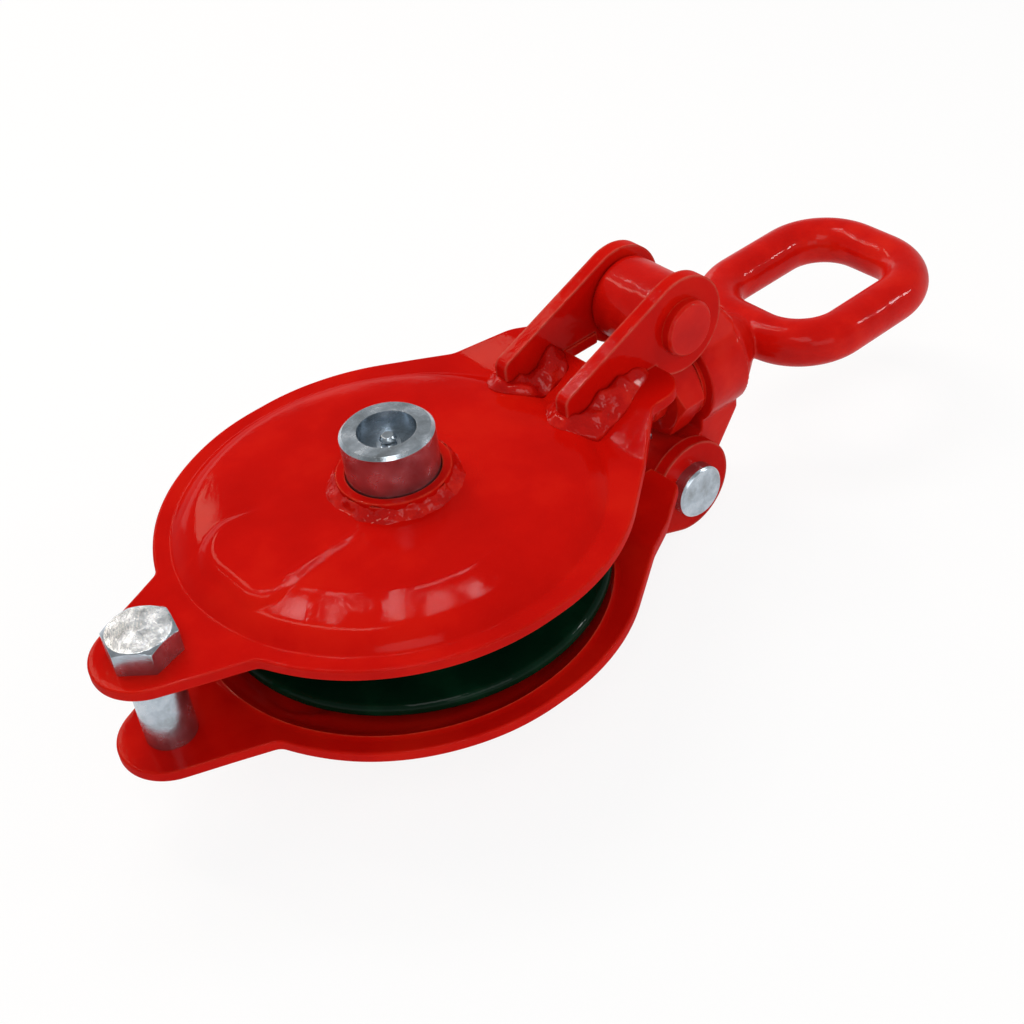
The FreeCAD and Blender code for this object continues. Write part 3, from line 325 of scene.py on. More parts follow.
def mottle_group():
    """A colour that drifts between three tones, with fine specks."""
    tree = group("mottle", [("Tone", "Color", (1, 1, 1, 1)), ("Deep", "Color", (1, 1, 1, 1)),
                            ("Pale", "Color", (1, 1, 1, 1)), ("Scale", "Float", 40.0),
                            ("Specks", "Float", 0.1)], [("Color", "Color"), ("Drift", "Float")])
    given, out = ends(tree)
    place = object_place(tree)
    drift = clouds(tree, place, given["Scale"], 5.0, 0.55)
    deepened = blend(tree, spread(tree, drift, 0.55, 0.25), given["Tone"], given["Deep"])
    paled = blend(tree, spread(tree, drift, 0.5, 0.8), deepened, given["Pale"])
    speck = spread(tree, clouds(tree, place, 1500.0, 2.0), 0.6, 0.72)
    dotted = blend(tree, worked(tree, "MULTIPLY", speck, given["Specks"]), paled, given["Pale"])
    tree.links.new(dotted, out["Color"])
    tree.links.new(drift, out["Drift"])
    return tree


def relief_group():
    """Fine grain over a slow wave, as a normal."""
    tree = group("relief", [("Grain Scale", "Float", 700.0), ("Grain Depth", "Float", 0.00003),
                            ("Wave Scale", "Float", 60.0), ("Wave Depth", "Float", 0.0002)],
                 [("Normal", "Vector")])
    given, out = ends(tree)
    place = object_place(tree)
    wave = clouds(tree, place, given["Wave Scale"], 2.0)
    slow = node(tree, "Bump", {"Height": wave, "Distance": given["Wave Depth"], "Strength": 1.0})
    grain = clouds(tree, place, given["Grain Scale"], 2.5)
    fine = node(tree, "Bump", {"Height": grain, "Distance": given["Grain Depth"], "Strength": 1.0,
                               "Normal": slow.outputs["Normal"]})
    tree.links.new(fine.outputs["Normal"], out["Normal"])
    return tree


# Lighter edges on every material: partly scuffed paint, partly a painted highlight.
EDGE_SCUFF_AND_HIGHLIGHT = edge_scuff_and_painted_highlight_group()
MOTTLE = mottle_group()
RELIEF = relief_group()


def placed(tree, shared, **feeds):
    """A shared effect in a material, with the values of its sockets."""
    made = tree.nodes.new("ShaderNodeGroup")
    made.node_tree = shared
    for socket, value in feeds.items():
        made.inputs[socket.replace("_", " ")].default_value = value
    return made


def finish(name, tones, specks, patch, scuff_and_highlight_tone, scuff_and_highlight, relief, rough, metallic=0.0, coat=0.0,
           coat_rough=0.05, specular=0.5):
    """A material of three tones, main, deep and pale, that drift in patches of a scale, with specks.
    Its edges are lighter, partly scuffed paint and partly a painted highlight, in the given edge tone;
    the edge band is given as its width, its least strength where it breaks up, and its strength.
    Relief is the grain's scale and depth, then the wave's. Rough is the range of the roughness."""
    made = bpy.data.materials.new(name)
    made.use_nodes = True
    tree = made.node_tree
    shader = tree.nodes["Principled BSDF"]
    tone, deep, pale = tones
    colour = placed(tree, MOTTLE, Tone=(*tone, 1), Deep=(*deep, 1), Pale=(*pale, 1), Scale=patch,
                    Specks=specks)
    wear_width, wear_least, wear_strength = scuff_and_highlight
    # Lighter edges: partly scuffed paint, partly a painted highlight.
    scuff_and_highlight_node = placed(tree, EDGE_SCUFF_AND_HIGHLIGHT, Width=wear_width, Breakup=wear_least)
    scuffed_and_highlit_colour = blend(tree, worked(tree, "MULTIPLY", scuff_and_highlight_node.outputs["Mask"], wear_strength),
                   colour.outputs["Color"], (*scuff_and_highlight_tone, 1))
    grain_scale, grain_depth, wave_scale, wave_depth = relief
    shape = placed(tree, RELIEF, Grain_Scale=grain_scale, Grain_Depth=grain_depth, Wave_Scale=wave_scale,
                   Wave_Depth=wave_depth)
    tree.links.new(scuffed_and_highlit_colour, shader.inputs["Base Color"])
    tree.links.new(spread(tree, colour.outputs["Drift"], 0.3, 0.7, *rough), shader.inputs["Roughness"])
    tree.links.new(shape.outputs["Normal"], shader.inputs["Normal"])
    tree.links.new(shape.outputs["Normal"], shader.inputs["Coat Normal"])
    shader.inputs["Metallic"].default_value = metallic
    shader.inputs["Coat Weight"].default_value = coat
    shader.inputs["Coat Roughness"].default_value = coat_rough
    shader.inputs["Specular IOR Level"].default_value = specular
    return made


RED = ((0.51, 0.0040, 0.0018), (0.43, 0.0026, 0.0012), (0.57, 0.0095, 0.0032))
# A lighter orange-red along the red pieces' edges: partly scuffed paint, partly a painted highlight.
RED_SCUFF_AND_HIGHLIGHT = (0.66, 0.085, 0.040)
PRESSED_RED = finish(
    "pressed_red", RED, specks=0.28, patch=28.0, scuff_and_highlight_tone=RED_SCUFF_AND_HIGHLIGHT, scuff_and_highlight=(0.0012, 0.35, 0.65),
    relief=(750.0, 0.00004, 45.0, 0.0003), rough=(0.24, 0.36), coat=0.10, coat_rough=0.045, specular=0.0)
# The lugs' cut edges are nearly covered by a wide paler band: a painted highlight, partly also scuffed paint.
LUG_RED = finish(
    "lug_red", RED, specks=0.28, patch=28.0, scuff_and_highlight_tone=(0.46, 0.11, 0.075), scuff_and_highlight=(0.0020, 0.4, 0.65),
    relief=(520.0, 0.00005, 60.0, 0.0004), rough=(0.26, 0.40), coat=0.10, coat_rough=0.06, specular=0.0)
FORGED_RED = finish(
    "forged_red", ((0.55, 0.0060, 0.0028), (0.45, 0.0032, 0.0016), (0.62, 0.015, 0.006)), specks=0.2,
    patch=55.0, scuff_and_highlight_tone=RED_SCUFF_AND_HIGHLIGHT, scuff_and_highlight=(0.0012, 0.3, 0.5), relief=(420.0, 0.00004, 90.0, 0.0005),
    rough=(0.28, 0.42), coat=0.16, coat_rough=0.06, specular=0.02)
WELD_RED = finish(
    "weld_red", ((0.46, 0.005, 0.003), (0.36, 0.0028, 0.0016), (0.58, 0.018, 0.008)), specks=0.2,
    patch=120.0, scuff_and_highlight_tone=RED_SCUFF_AND_HIGHLIGHT, scuff_and_highlight=(0.0008, 0.3, 0.3), relief=(500.0, 0.00003, 260.0, 0.0006),
    rough=(0.22, 0.36), coat=0.3, coat_rough=0.04, specular=0.0)
SHEAVE_GREEN = finish(
    "sheave_green", ((0.0015, 0.014, 0.006), (0.0010, 0.009, 0.004), (0.003, 0.028, 0.012)), specks=0.10,
    patch=40.0, scuff_and_highlight_tone=(0.02, 0.12, 0.06), scuff_and_highlight=(0.0012, 0.3, 0.5),
    relief=(500.0, 0.00004, 60.0, 0.0003), rough=(0.22, 0.36), coat=0.16, coat_rough=0.03, specular=0.0)
ZINC = finish(
    "plated_zinc", ((0.43, 0.49, 0.55), (0.26, 0.29, 0.31), (0.58, 0.63, 0.68)), specks=0.5,
    patch=130.0, scuff_and_highlight_tone=(0.56, 0.60, 0.64), scuff_and_highlight=(0.0007, 0.5, 0.75),
    relief=(1500.0, 0.00003, 210.0, 0.00007), rough=(0.17, 0.30), metallic=0.96)
BRONZE = finish(
    "bearing_bronze", ((0.55, 0.34, 0.14), (0.42, 0.24, 0.09), (0.66, 0.44, 0.20)), specks=0.2,
    patch=80.0, scuff_and_highlight_tone=(0.8, 0.58, 0.3), scuff_and_highlight=(0.0006, 0.5, 0.6),
    relief=(1200.0, 0.00001, 120.0, 0.00005), rough=(0.28, 0.42), metallic=1.0)


# The pressed surface of the cheeks.

def blended_max(a, b, softness):
    """The higher of two surfaces, with the corner between them filled."""
    overlap = max(softness - abs(a - b), 0) / softness
    return max(a, b) + overlap * overlap * softness / 4


def blended_min(a, b, softness):
    """The lower of two surfaces, with the corner between them rounded."""
    return -blended_max(-a, -b, softness)


def share_between(value, low, high):
    """How far a value has come from one limit to the other, from nothing to one."""
    return min(max((value - low) / (high - low), 0), 1)


def eased_step(value, low, high):
    """From nothing to one between two limits, with a gentle start and end."""
    share = share_between(value, low, high)
    return share * share * (3 - 2 * share)


def swell(offset, width):
    """A smooth bump that is one high in its middle."""
    return math.exp(-(offset / width) ** 2)


def uneven(x, y, size, depth, seed):
    """A slow wave in the plate; its seed makes it unlike the others."""
    return noise.noise(Vector((x / size, y / size, seed))) * depth


def slope(x, radius, top, foot_radius, foot):
    """A straight slope that falls outwards from a radius."""
    return top - (x - radius) * (top - foot) / (foot_radius - radius)


def plate_height(x):
    """The flat plate and the ramp up to its head."""
    foot_softness, head_softness = 0.7, 0.9
    ramp = PLATE_TOP + (x - RAMP_START) * RAMP_RISE / (RAMP_END - RAMP_START)
    return blended_min(blended_max(PLATE_TOP, ramp, foot_softness), PLATE_TOP + RAMP_RISE, head_softness)


def shoulder_height(out):
    """The shoulder, which rolls over from a gentle lean to a steeper one and ends a little sunk."""
    gentle, sunk = 0.085, 0.15
    beyond = out - CROWN_RADIUS
    run = SHOULDER_RADIUS - CROWN_RADIUS
    roll = (CROWN_TOP - SHOULDER_TOP + sunk) / run - gentle
    return CROWN_TOP - beyond * gentle - beyond * max(beyond, 0) / run * roll


def rib_height(x, y):
    """The flat rib: a level top between two ridges, and a steep, rounded end where they flare out."""
    flare = eased_step(-x, *RIB_FLARE)
    if y > 0:
        half = RIB_STEM + (RIB_FAR - RIB_STEM) * flare
        corner = RIB_FAR_CORNER
    else:
        half = -RIB_RIDGE + (RIB_NEAR + RIB_RIDGE) * flare
        corner = RIB_NEAR_CORNER
    beyond = RIB_END - x + corner
    beside = abs(y) - half + corner
    outside = math.hypot(max(beyond, 0), max(beside, 0)) + min(max(beyond, beside), 0) - corner
    brim = 0.1
    fall = 0.28 + 0.56 * flare
    softness = 0.25 + 2.9 * flare
    return blended_min(RIB_TOP, RIB_TOP + brim - outside * fall, softness)


def fold_height(x, y):
    """The crease the press left along the rib's near side: a ridge with a hollow beside it."""
    ridge, ridge_width = 0.34, 1.3
    hollow, hollow_width, apart = 0.26, 2.2, 3.6
    rise, fall = (22, 34), (57, 64)
    along = eased_step(-x, *rise) * (1 - eased_step(-x, *fall))
    return along * (ridge * swell(y - RIB_RIDGE, ridge_width)
                    - hollow * swell(y - RIB_RIDGE + apart, hollow_width))


def crest_height(x, y, out):
    """The raised line where the near side of the crown turns down into the shoulder."""
    height, width = 0.15, 1.1
    rise, fall = (-166, -150), (-92, -70)
    bearing = math.degrees(math.atan2(y, x - DOME_CENTRE))
    along = eased_step(bearing, *rise) * (1 - eased_step(bearing, *fall))
    return along * height * swell(out - CROWN_RADIUS, width)


def groove_height(x, y):
    """Two shallow rings that a tool left in the crown beside the hub, deepest towards the head."""
    rings = ((29.5, 0.10, 0.7), (32.0, 0.07, 0.6))
    deepest = 0.15
    reach = math.hypot(x, y)
    share = 0.5 + 0.5 * math.cos(math.atan2(y, x) - deepest)
    return -share * sum(depth * swell(reach - radius, width) for radius, depth, width in rings)


def cheek_height(x, y):
    """The pressed surface above a point: plate and ramp, dome, and the rib towards the tail."""
    crown_softness, shoulder_softness, rib_softness = 0.1, 2.2, 0.3
    out = math.hypot(x - DOME_CENTRE, y)
    crown = blended_min(min(DOME_TOP, slope(out, DOME_FLAT, DOME_TOP, CROWN_RADIUS, CROWN_TOP)),
                        shoulder_height(out), crown_softness)
    dome = blended_min(crown, slope(out, SHOULDER_RADIUS, SHOULDER_TOP, FOOT_RADIUS, PLATE_TOP),
                       shoulder_softness)
    valley_softness = 0.35 + 1.6 * share_between(x, 50, 70)
    height = blended_max(plate_height(x), dome, valley_softness)
    height = height + crest_height(x, y, out) + groove_height(x, y)
    if x < RIB_ROOT:
        rib = rib_height(x, y) - RIB_SINK_SLOPE * max(x - RIB_SINK, 0)
        height = blended_max(height, rib, rib_softness) + fold_height(x, y)
    waves = uneven(x, y, 22, 0.12, 3.7) + uneven(x, y, 9, 0.025, 8.1)
    return height + waves * share_between(out, 34, 48)


def under_height(x, y):
    """The underside, a wall's thickness from the top as measured square to the surface."""
    near = 0.4
    steepest = 1.0
    lean = math.hypot(cheek_height(x + near, y) - cheek_height(x - near, y),
                      cheek_height(x, y + near) - cheek_height(x, y - near)) / (2 * near)
    return cheek_height(x, y) - WALL * math.hypot(1, min(lean, steepest))


# The cheeks' outline and mesh.

def arc(centre, radius, first, last, steps):
    """Points along an arc between two bearings."""
    return [centre + Vector((math.cos(first + (last - first) * step / steps),
                             math.sin(first + (last - first) * step / steps))) * radius
            for step in range(steps + 1)]


def rounded(before, spot, after, radius):
    """The points of a corner's rounding."""
    steps = 14
    back, ahead = (before - spot).normalized(), (after - spot).normalized()
    half = back.angle(ahead) / 2
    centre = spot + (back + ahead).normalized() * (radius / math.sin(half))
    first = spot + back * (radius / math.tan(half)) - centre
    last = spot + ahead * (radius / math.tan(half)) - centre
    start, end = math.atan2(first.y, first.x), math.atan2(last.y, last.x)
    end += 2 * math.pi * round((start - end) / (2 * math.pi))
    return arc(centre, radius, start, end, steps)


def edge_line():
    """The cheek's edge as points, anticlockwise from its head's far corner."""
    shoulder_steps, side_steps, lobe_steps = 60, 120, 80
    # The end of each side's arc gives way to the neck's rounding.
    neck_steps = 4
    middle = Vector((DOME_CENTRE, 0))
    axle = Vector((0, 0))
    lobe = Vector((TAIL, 0))
    far_front, near_front = Vector((HEAD, HEAD_FAR)), Vector((HEAD, -HEAD_NEAR))
    corner = Vector((HEAD_CORNER, -HEAD_NEAR))

    def touch(point, centre, radius, turn):
        """The bearing at which a line from a point touches a circle."""
        line = point - centre
        return math.atan2(line.y, line.x) + turn * math.acos(radius / line.length)

    def on(centre, radius, turn):
        """The point of a circle at a bearing."""
        return centre + Vector((math.cos(turn), math.sin(turn))) * radius

    far_turn = touch(far_front, axle, CHEEK_RADIUS, 1)
    near_turn = touch(corner, axle, CHEEK_RADIUS, -1)
    reach = math.sqrt(CHEEK_RADIUS ** 2 - NECK ** 2)
    far_neck, near_neck = middle + Vector((-reach, NECK)), middle + Vector((-reach, -NECK))
    neck_turn = math.atan2(NECK, -reach)
    tail_turn = touch(far_neck, lobe, TAIL_LOBE, 1)
    before_neck = far_neck + Vector((math.sin(neck_turn), -math.cos(neck_turn)))
    after_neck = Vector((before_neck.x, -before_neck.y))
    quarter = math.pi / 2
    return (rounded(near_front, far_front, on(axle, CHEEK_RADIUS, far_turn), FAR_ROUNDING)
            + arc(axle, CHEEK_RADIUS, far_turn, quarter, shoulder_steps)
            + arc(middle, CHEEK_RADIUS, quarter, neck_turn, side_steps)[:-neck_steps]
            + rounded(before_neck, far_neck, on(lobe, TAIL_LOBE, tail_turn), INSIDE_ROUNDING)
            + arc(lobe, TAIL_LOBE, tail_turn, 2 * math.pi - tail_turn, lobe_steps)
            + rounded(on(lobe, TAIL_LOBE, -tail_turn), near_neck, after_neck, INSIDE_ROUNDING)
            + arc(middle, CHEEK_RADIUS, -neck_turn, -quarter, side_steps)[neck_steps:]
            + arc(axle, CHEEK_RADIUS, -quarter, near_turn, shoulder_steps)
            + rounded(on(axle, CHEEK_RADIUS, near_turn), corner, near_front, INSIDE_ROUNDING)
            + rounded(corner, near_front, far_front, HEAD_ROUNDING))


def reaches():
    """How far the cheek's edge is from the dome's centre on each spoke."""
    spots = [spot - Vector((DOME_CENTRE, 0)) for spot in edge_line()]
    found = []
    for turn in SPOKE_TURNS:
        across = Vector((-math.sin(turn), math.cos(turn)))
        along = Vector((math.cos(turn), math.sin(turn)))
        best = 0
        for first, second in zip(spots, spots[1:] + spots[:1]):
            a, b = first.dot(across), second.dot(across)
            if a * b <= 0 and a != b:
                best = max(best, (first + (second - first) * (a / (a - b))).dot(along))
        found.append(best)
    return found


REACHES = reaches()


def side_rings(bore, surface, side):
    """Rings from the bore out to the rim's rounding, on the top (side 0) or the underside (side 1).
    A ring is its radius on each spoke, the surface it lies on, and its lift from that surface."""
    rings = []
    before = bore
    for radius, *counts in STAGES:
        count = counts[side]
        for step in range(1, count + 1):
            rings.append(([inner + (radius - inner) * step / count for inner in before], surface, 0.0))
        before = [radius] * SPOKES
    flange = FLANGE_RINGS[side]
    for step in range(1, flange + 1):
        rings.append(([radius + (reach - RIM_ROUNDING - radius) * step / flange for reach in REACHES],
                      surface, 0.0))
    for step in range(1, RIM_RINGS + 1):
        turn = math.pi / 2 * step / RIM_RINGS
        inset = RIM_ROUNDING * (1 - math.sin(turn))
        drop = RIM_ROUNDING * (1 - math.cos(turn))
        rings.append(([reach - inset for reach in REACHES], surface, drop if side else -drop))
    return rings


def hole_and_notch():
    """What is cut from a cheek besides its bore: the tail bolt's hole and the notch between the lugs."""
    through = 40
    tool = turned([(0, 0), (TAIL_HOLE, 0), (TAIL_HOLE, through), (0, through)], steps=72)
    bmesh.ops.translate(tool, vec=(TAIL, 0, 0), verts=tool.verts)
    block = (Matrix.Translation((NOTCH + through / 2, 0, through / 2))
             @ Matrix.Diagonal((through, 2 * NOTCH_HALF, through, 1)))
    bmesh.ops.create_cube(tool, size=1, matrix=block)
    return tool


def cheek_mesh(hole):
    """The pressed plate as rings about the dome: over its top, round its edge and back underneath."""
    bore = [-DOME_CENTRE * math.cos(turn) + math.sqrt(hole ** 2 - (DOME_CENTRE * math.sin(turn)) ** 2)
            for turn in SPOKE_TURNS]
    rings = ([(bore, cheek_height, 0.0)] + side_rings(bore, cheek_height, 0)
             + side_rings(bore, under_height, 1)[::-1] + [(bore, under_height, 0.0)])
    bm = bmesh.new()
    bmesh.ops.create_circle(bm, segments=SPOKES, radius=1, matrix=Matrix.Translation((DOME_CENTRE, 0, 0)))
    verts, edges = bm.verts[:], bm.edges[:]
    for index, (radii, surface, lift) in enumerate(rings):
        if index:
            verts, edges = next_ring(bm, edges)
        for vert in verts:
            turn = math.atan2(vert.co.y, vert.co.x - DOME_CENTRE)
            spoke = round(turn / (2 * math.pi) * SPOKES) % SPOKES
            x = DOME_CENTRE + radii[spoke] * math.cos(SPOKE_TURNS[spoke])
            y = radii[spoke] * math.sin(SPOKE_TURNS[spoke])
            vert.co = (x, y, surface(x, y) + lift)
    bore_edges = [edge for edge in bm.edges if len(edge.link_faces) == 1]
    bmesh.ops.bridge_loops(bm, edges=bore_edges)
    return cut_away(bm, hole_and_notch())


def cheeks():
    """The upper pressing, and the lower one, which is the same but for its axle hole."""
    for level, sense in LEVELS:
        piece(turned_over(cheek_mesh(AXLE_HOLES[level]), sense), f"{level}_pressed_cheek", "frame",
              PRESSED_RED, [f"{level}_cheek"], crease=40)


# Welds.

def lumpy(place, coarse, fine):
    """The unevenness of weld metal at a place, in lumps of three sizes."""
    lumps = noise.noise(place / 5.2) * coarse
    ripples = noise.noise(place / 2.3 + Vector((9, 4, 2))) * fine
    beads = noise.noise(place / 1.1 + Vector((3, 7, 5))) * fine * 0.35
    return lumps + ripples + beads


def hub_welds():
    """The uneven bead round each hub ring."""
    buried, width, height, under_ring = 0.6, 4.4, 4.6, 0.4
    steps, steps_round = 14, 360
    coarse, fine, thicker, upward = 1.3, 0.35, 0.1, 0.7
    for level, sense in LEVELS:
        section = [(RING_RADIUS - buried, DOME_TOP - buried), (RING_RADIUS + width, DOME_TOP - buried)]
        for step in range(steps + 1):
            share = step / steps
            section.append((RING_RADIUS + width - (width + under_ring) * share ** 0.85,
                            DOME_TOP - buried / 2 + height * share ** 1.25))
        bm = turned(section, steps_round)
        for vert in bm.verts:
            outward = Vector((vert.co.x, vert.co.y, 0)).normalized()
            above = share_between(vert.co.z, DOME_TOP - buried, DOME_TOP + buried)
            lumps_of_its_own = Vector((0, 0, 11 * sense))
            raised = (lumpy(vert.co + lumps_of_its_own, coarse, fine) + thicker) * above
            vert.co += (outward + Vector((0, 0, upward))) * raised
        piece(turned_over(bm, sense), f"{level}_hub_bead", "frame", WELD_RED,
              [f"{level}_hub_weld"], crease=180)


# The bead round a lug's foot: its size beside the lug, what it loses there towards its front end,
# and its size behind the lug.
BEAD_WIDTH = 12.0
BEAD_HEIGHT = 7.6
BEAD_NARROWS = (84, 104)
WIDTH_LOST = 6.5
HEIGHT_LOST = 3.0
REAR_WIDTH = 6.2
REAR_HEIGHT = 4.4
OUTER_FRONT = 107.5
INNER_FRONT = NOTCH - 1.2


def bead_size(x, front):
    """A bead's width and height at a place along the lug, where its front end is the given one."""
    narrowing = eased_step(x, *BEAD_NARROWS)
    behind = eased_step(-x, -LUG_REAR - 1, -LUG_REAR + 2)
    blunt, blunt_length = 0.35, 5
    ending = blunt + (1 - blunt) * eased_step(front - x, 0, blunt_length)
    width = (BEAD_WIDTH - WIDTH_LOST * narrowing) * (1 - behind) + REAR_WIDTH * behind
    height = (BEAD_HEIGHT - HEIGHT_LOST * narrowing) * (1 - behind) + REAR_HEIGHT * behind
    return width * ending, height * ending


def bead_path(side):
    """Stations round a lug's foot: along its inner flank to the rear, and back along its outer one.
    A station is a place just inside the lug, the way out of it, and the bead's width and height."""
    step_length, rear_steps, rear_bulge = 1.1, 16, 2.5
    middle = side * LUG_MIDDLE
    beside = LUG_HALF - 0.5

    def flank(sense, front):
        """The stations along one flank, from its front end to the rear."""
        count = int((front - LUG_REAR) / step_length) + 1
        return [(Vector((x, middle + sense * beside, 0)), Vector((0, sense, 0)), *bead_size(x, front))
                for x in (front - step * step_length for step in range(count))]

    rear = []
    for step in range(1, rear_steps):
        turn = math.pi * step / rear_steps
        out = Vector((-math.sin(turn), -side * math.cos(turn), 0))
        x = LUG_REAR + out.x * rear_bulge
        rear.append((Vector((x, middle + out.y * beside, 0)), out, *bead_size(x, math.inf)))
    return flank(-side, INNER_FRONT) + rear + flank(side, OUTER_FRONT)[::-1]


def lug_bead(side):
    """A mound of weld metal swept round a lug's foot. The section's lanes run from the lug to the
    bead's toe, and two more close it inside the plate."""
    lanes, toe = 13, 10
    coarse, fine = 3.4, 1.3
    sunk, buried = 0.25, 1.2
    fullness, evenness_at_toe = 1.5, 4
    lumps_of_its_own = 40 * side
    bm = bmesh.new()
    lane = bm.verts.layers.int.new("lane")
    bmesh.ops.create_circle(bm, cap_ends=True, segments=lanes, radius=1)
    for index, vert in enumerate(bm.verts):
        vert[lane] = index
    verts, edges = bm.verts[:], bm.edges[:]
    for index, (spot, out, width, height) in enumerate(bead_path(side)):
        if index:
            verts, edges = next_ring(bm, edges)
        for vert in verts:
            share = min(vert[lane] / toe, 1)
            place = spot if vert[lane] == lanes - 1 else spot + out * width * share
            ground = cheek_height(place.x, place.y)
            if vert[lane] > toe:
                vert.co = (place.x, place.y, ground - buried)
                continue
            lumps = lumpy(Vector((place.x, place.y, lumps_of_its_own)), coarse, fine)
            lumps *= min(evenness_at_toe * (1 - share), 1)
            mound = height * (1 - share ** fullness) + lumps * width / BEAD_WIDTH
            vert.co = (place.x, place.y, ground - sunk + max(mound, 0))
    bmesh.ops.holes_fill(bm, edges=edges, sides=0)
    for _ in range(2):
        bmesh.ops.smooth_vert(bm, verts=bm.verts, factor=0.5, use_axis_x=True, use_axis_y=True,
                              use_axis_z=True)
    return bm


def lug_welds():
    """The beads at the lugs' feet; a near one that is turned over becomes a far one."""
    places = {-1: "near", 1: "far"}
    for level, sense in LEVELS:
        for side in places:
            place = places[side * sense]
            piece(turned_over(lug_bead(side), sense), f"{level}_{place}_bead", "frame", WELD_RED,
                  [f"{level}_{place}_weld"], crease=180)


# Forged, turned and bent pieces.

def forged():
    """The forgings, each fused into one skin from grains of a size, and smoothed some rounds."""
    for part, rides_on, grain, smoothing in (("swivel_eye", "eye", 0.00075, 6),
                                             ("crosshead", "frame", 0.0007, 4)):
        piece(cast(merged_copy(part), grain, smoothing), f"{part}_forging", rides_on, FORGED_RED,
              [part], crease=60)


# Pieces that keep their solid's shape, by finish, with the width of their eased edges in millimetres.
FASTENINGS = (
    (ZINC, "zinc", {"axle": 0.5, "axle_nut": 0.4, "grease_nipple": 0.15, "spacer_tube": 0.3,
                    "tail_nut": 0.3, "tail_bolt": 0.4, "lower_hinge_pin": 0.4, "lower_pin_washer": 0.3,
                    "spring_clip": 0.2, "stem_split_pin": 0.2}),
    (FORGED_RED, "red_paint", {"upper_hinge_pin": 0.5, "upper_pin_washer": 0.4, "upper_split_pin": 0.2,
                               "stem_nut": 0.5, "swivel_washer": 0.3}),
    (PRESSED_RED, "red_paint", {"upper_hub_ring": 0.6, "lower_hub_ring": 0.6}),
    (LUG_RED, "red_paint", {"upper_near_lug": 0.6, "upper_far_lug": 0.6, "lower_near_lug": 0.6,
                            "lower_far_lug": 0.6}),
    (BRONZE, "bronze", {"upper_thrust_washer": 0.2, "lower_thrust_washer": 0.2, "sheave_bush": 0.3}),
    (SHEAVE_GREEN, "green_paint", {"sheave": 0.4}))
# The bodies of those that move.
MOVING = {"tail_bolt": "tail_bolt", "spring_clip": "clip", "stem_split_pin": "eye", "stem_nut": "eye",
          "sheave_bush": "sheave", "sheave": "sheave"}


def fastenings():
    """The pieces that keep their solid's shape, with its sharp edges eased."""
    for dress, slot, widths in FASTENINGS:
        for part, width in widths.items():
            machined(part, f"{part}_finished", MOVING.get(part, "frame"), dress, width * MILLIMETRE)


# The photograph's point of view, in metres and degrees: the camera's place, the way it looks, its
# roll, and its lens and sensor in millimetres.
VIEWPOINT = Vector((-0.2628, -0.4349, 0.4817))
VIEW = Vector((0.4516, 0.6289, -0.6329)).normalized()
ROLL = -8.05
LENS = 61.8
SENSOR = 36

# Lamps stand on a sphere about the block, or nearer for the streaks, so that the ramp doesn't show
# them too. A streak on the dome's shoulder is given by its bearing and radius about the dome's
# centre, the shoulder's lean there in degrees, and its lamp's width. The lamp reaches between what
# the shoulder shows a little further in and a little further out, and its power goes by its width.
BLOCK_MIDDLE = Vector((0, 0, 0.06))
DOME_LEVEL = 0.0885
LAMP_REACH = 1.6
STREAK_REACH = 0.75
STREAKS = ((-156, 68.9, 9.3, 0.024), (-142, 66.7, 8.5, 0.016), (-125, 65.2, 7.9, 0.020),
           (-113, 68.3, 9.1, 0.013), (-103, 70.0, 9.8, 0.022))
STREAK_HALF = 5
STREAK_HALF_LEAN = 2.3
STREAK_POWER = 13

# The floor's radius and the share of glow that is seen in it; the sky's strength by the floor and
# overhead, and the height at which it has faded.
FLOOR_RADIUS = 9
FLOOR_GLOW = 0.88
SKY_LOW = 0.85
SKY_HIGH = 0.38
SKY_FADE = 0.42


def shown(radius, bearing, tilt, reach=LAMP_REACH):
    """Where a lamp stands that this spot of the dome, leaning outwards by a tilt, shows the camera."""
    turn, lean = math.radians(bearing), math.radians(tilt)
    spot = Vector(((DOME_CENTRE + radius * math.cos(turn)) * MILLIMETRE,
                   radius * math.sin(turn) * MILLIMETRE, DOME_LEVEL))
    facing = Vector((math.sin(lean) * math.cos(turn), math.sin(lean) * math.sin(turn), math.cos(lean)))
    sight = (spot - VIEWPOINT).normalized()
    return spot + (sight - facing * (2 * sight.dot(facing))) * reach


def away(*direction):
    """Where a lamp stands in a direction from the block."""
    return BLOCK_MIDDLE + Vector(direction).normalized() * LAMP_REACH


def strip_lamp(name, start, end, width, power, tint):
    """A flat lamp that reaches from one place to another and faces the block."""
    lamp = bpy.data.lights.new(name, "AREA")
    lamp.shape = "RECTANGLE"
    lamp.size = (end - start).length
    lamp.size_y = width
    lamp.energy = power
    lamp.color = tint
    holder = bpy.data.objects.new(name, lamp)
    along = (end - start).normalized()
    towards = (start + end).normalized()
    across = towards.cross(along).normalized()
    place = Matrix((along, across, along.cross(across))).transposed().to_4x4()
    place.translation = (start + end) / 2
    holder.matrix_world = place
    bpy.context.scene.collection.objects.link(holder)


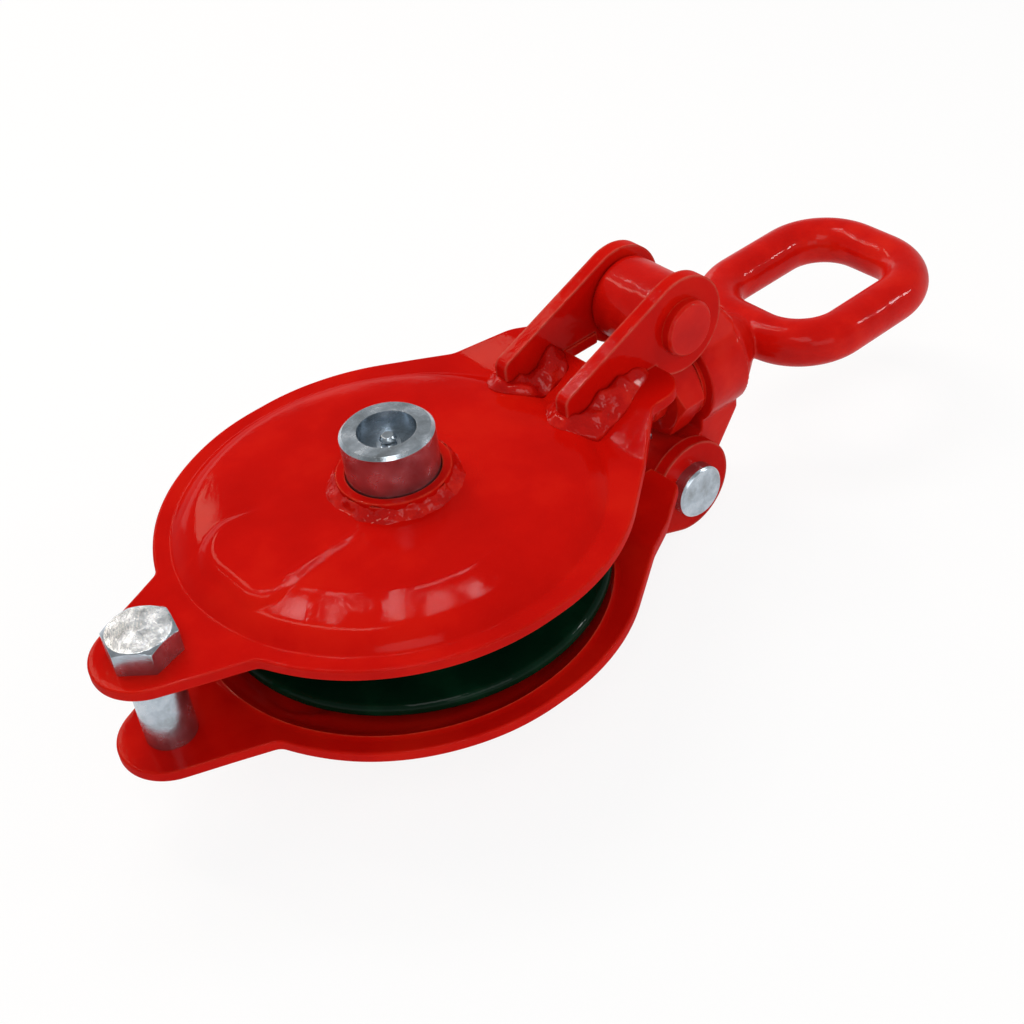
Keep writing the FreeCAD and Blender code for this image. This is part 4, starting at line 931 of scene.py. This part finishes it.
def white_floor():
    """A floor that glows almost plain white to the camera and in reflections, and keeps the shadow."""
    bm = bmesh.new()
    bmesh.ops.create_circle(bm, cap_ends=True, segments=96, radius=FLOOR_RADIUS)
    mesh = bpy.data.meshes.new("floor")
    bm.to_mesh(mesh)
    bm.free()
    floor = bpy.data.objects.new("floor", mesh)
    bpy.context.scene.collection.objects.link(floor)
    white = bpy.data.materials.new("floor_white")
    white.use_nodes = True
    tree = white.node_tree
    shader = tree.nodes["Principled BSDF"]
    shader.inputs["Base Color"].default_value = (0.93, 0.93, 0.93, 1)
    shader.inputs["Roughness"].default_value = 0.9
    shader.inputs["Specular IOR Level"].default_value = 0.1
    glow = node(tree, "Emission", {"Color": (1, 1, 1, 1), "Strength": 1.0})
    ray = node(tree, "LightPath").outputs
    direct = worked(tree, "ADD", ray["Is Camera Ray"], ray["Is Glossy Ray"])
    seen = worked(tree, "ADD", direct, ray["Is Transmission Ray"], use_clamp=True)
    share = worked(tree, "MULTIPLY", seen, FLOOR_GLOW)
    mixed = node(tree, "MixShader", {0: share, 1: shader.outputs[0], 2: glow.outputs[0]})
    tree.links.new(mixed.outputs[0], tree.nodes["Material Output"].inputs["Surface"])
    mesh.materials.append(white)


def sky():
    """A white room, brighter near the floor than overhead."""
    world = bpy.data.worlds.new("studio")
    bpy.context.scene.world = world
    world.use_nodes = True
    tree = world.node_tree
    backdrop = tree.nodes["Background"]
    direction = node(tree, "TexCoord")
    parts = node(tree, "SeparateXYZ", {0: direction.outputs["Generated"]})
    strength = spread(tree, parts.outputs["Z"], 0.0, SKY_FADE, SKY_LOW, SKY_HIGH,
                      interpolation_type="SMOOTHSTEP")
    tree.links.new(strength, backdrop.inputs["Strength"])
    backdrop.inputs["Color"].default_value = (1, 1, 1, 1)


def lamps():
    """The streaks' narrow lamps, then two that the dome shows, then those that light the block.
    Each has a name, its two ends, its width, its power and its tint."""
    plain = (1, 1, 1)
    strips = [(f"streak_{index}", shown(radius - STREAK_HALF, bearing, tilt - STREAK_HALF_LEAN, STREAK_REACH),
               shown(radius + STREAK_HALF, bearing, tilt + STREAK_HALF_LEAN, STREAK_REACH),
               width, width * STREAK_POWER, plain)
              for index, (bearing, radius, tilt, width) in enumerate(STREAKS)]
    strips += [("left_window", shown(69, -172, 10), shown(69, 132, 11), 0.15, 3.2, (1, 0.78, 0.6)),
               ("lip_window", shown(66, 180, 22), shown(66, -130, 20), 0.14, 5.4, (1, 0.85, 0.7)),
               ("sparkle", away(0.72, -0.58, 0.38), away(0.76, -0.50, 0.40), 0.14, 3.0, plain),
               ("far_window", away(0.60, 0.79, 0.20), away(-0.12, 0.98, 0.20), 0.3, 3.0, (1, 0.9, 0.85)),
               ("near_fill", away(-0.42, -0.85, 0.36), away(0.14, -0.92, 0.36), 0.5, 3.0, plain),
               ("key", away(-0.55, -0.45, 0.80), away(-0.20, -0.65, 0.80), 0.7, 5.0, plain)]
    for strip in strips:
        strip_lamp(*strip)


def camera():
    """The photograph's point of view, a little rolled."""
    right = VIEW.cross(Vector((0, 0, 1))).normalized()
    up = right.cross(VIEW)
    roll = math.radians(ROLL)
    rolled_right = right * math.cos(roll) + up * math.sin(roll)
    rolled_up = -right * math.sin(roll) + up * math.cos(roll)
    data = bpy.data.cameras.new("camera")
    data.lens = LENS
    data.sensor_width = SENSOR
    data.clip_start = 0.01
    holder = bpy.data.objects.new("camera", data)
    bpy.context.scene.collection.objects.link(holder)
    place = Matrix((rolled_right, rolled_up, -VIEW)).transposed().to_4x4()
    place.translation = VIEWPOINT
    holder.matrix_world = place
    bpy.context.scene.camera = holder


cheeks()
hub_welds()
lug_welds()
forged()
fastenings()
white_floor()
sky()
lamps()
camera()
bpy.context.scene.view_settings.view_transform = "Standard"
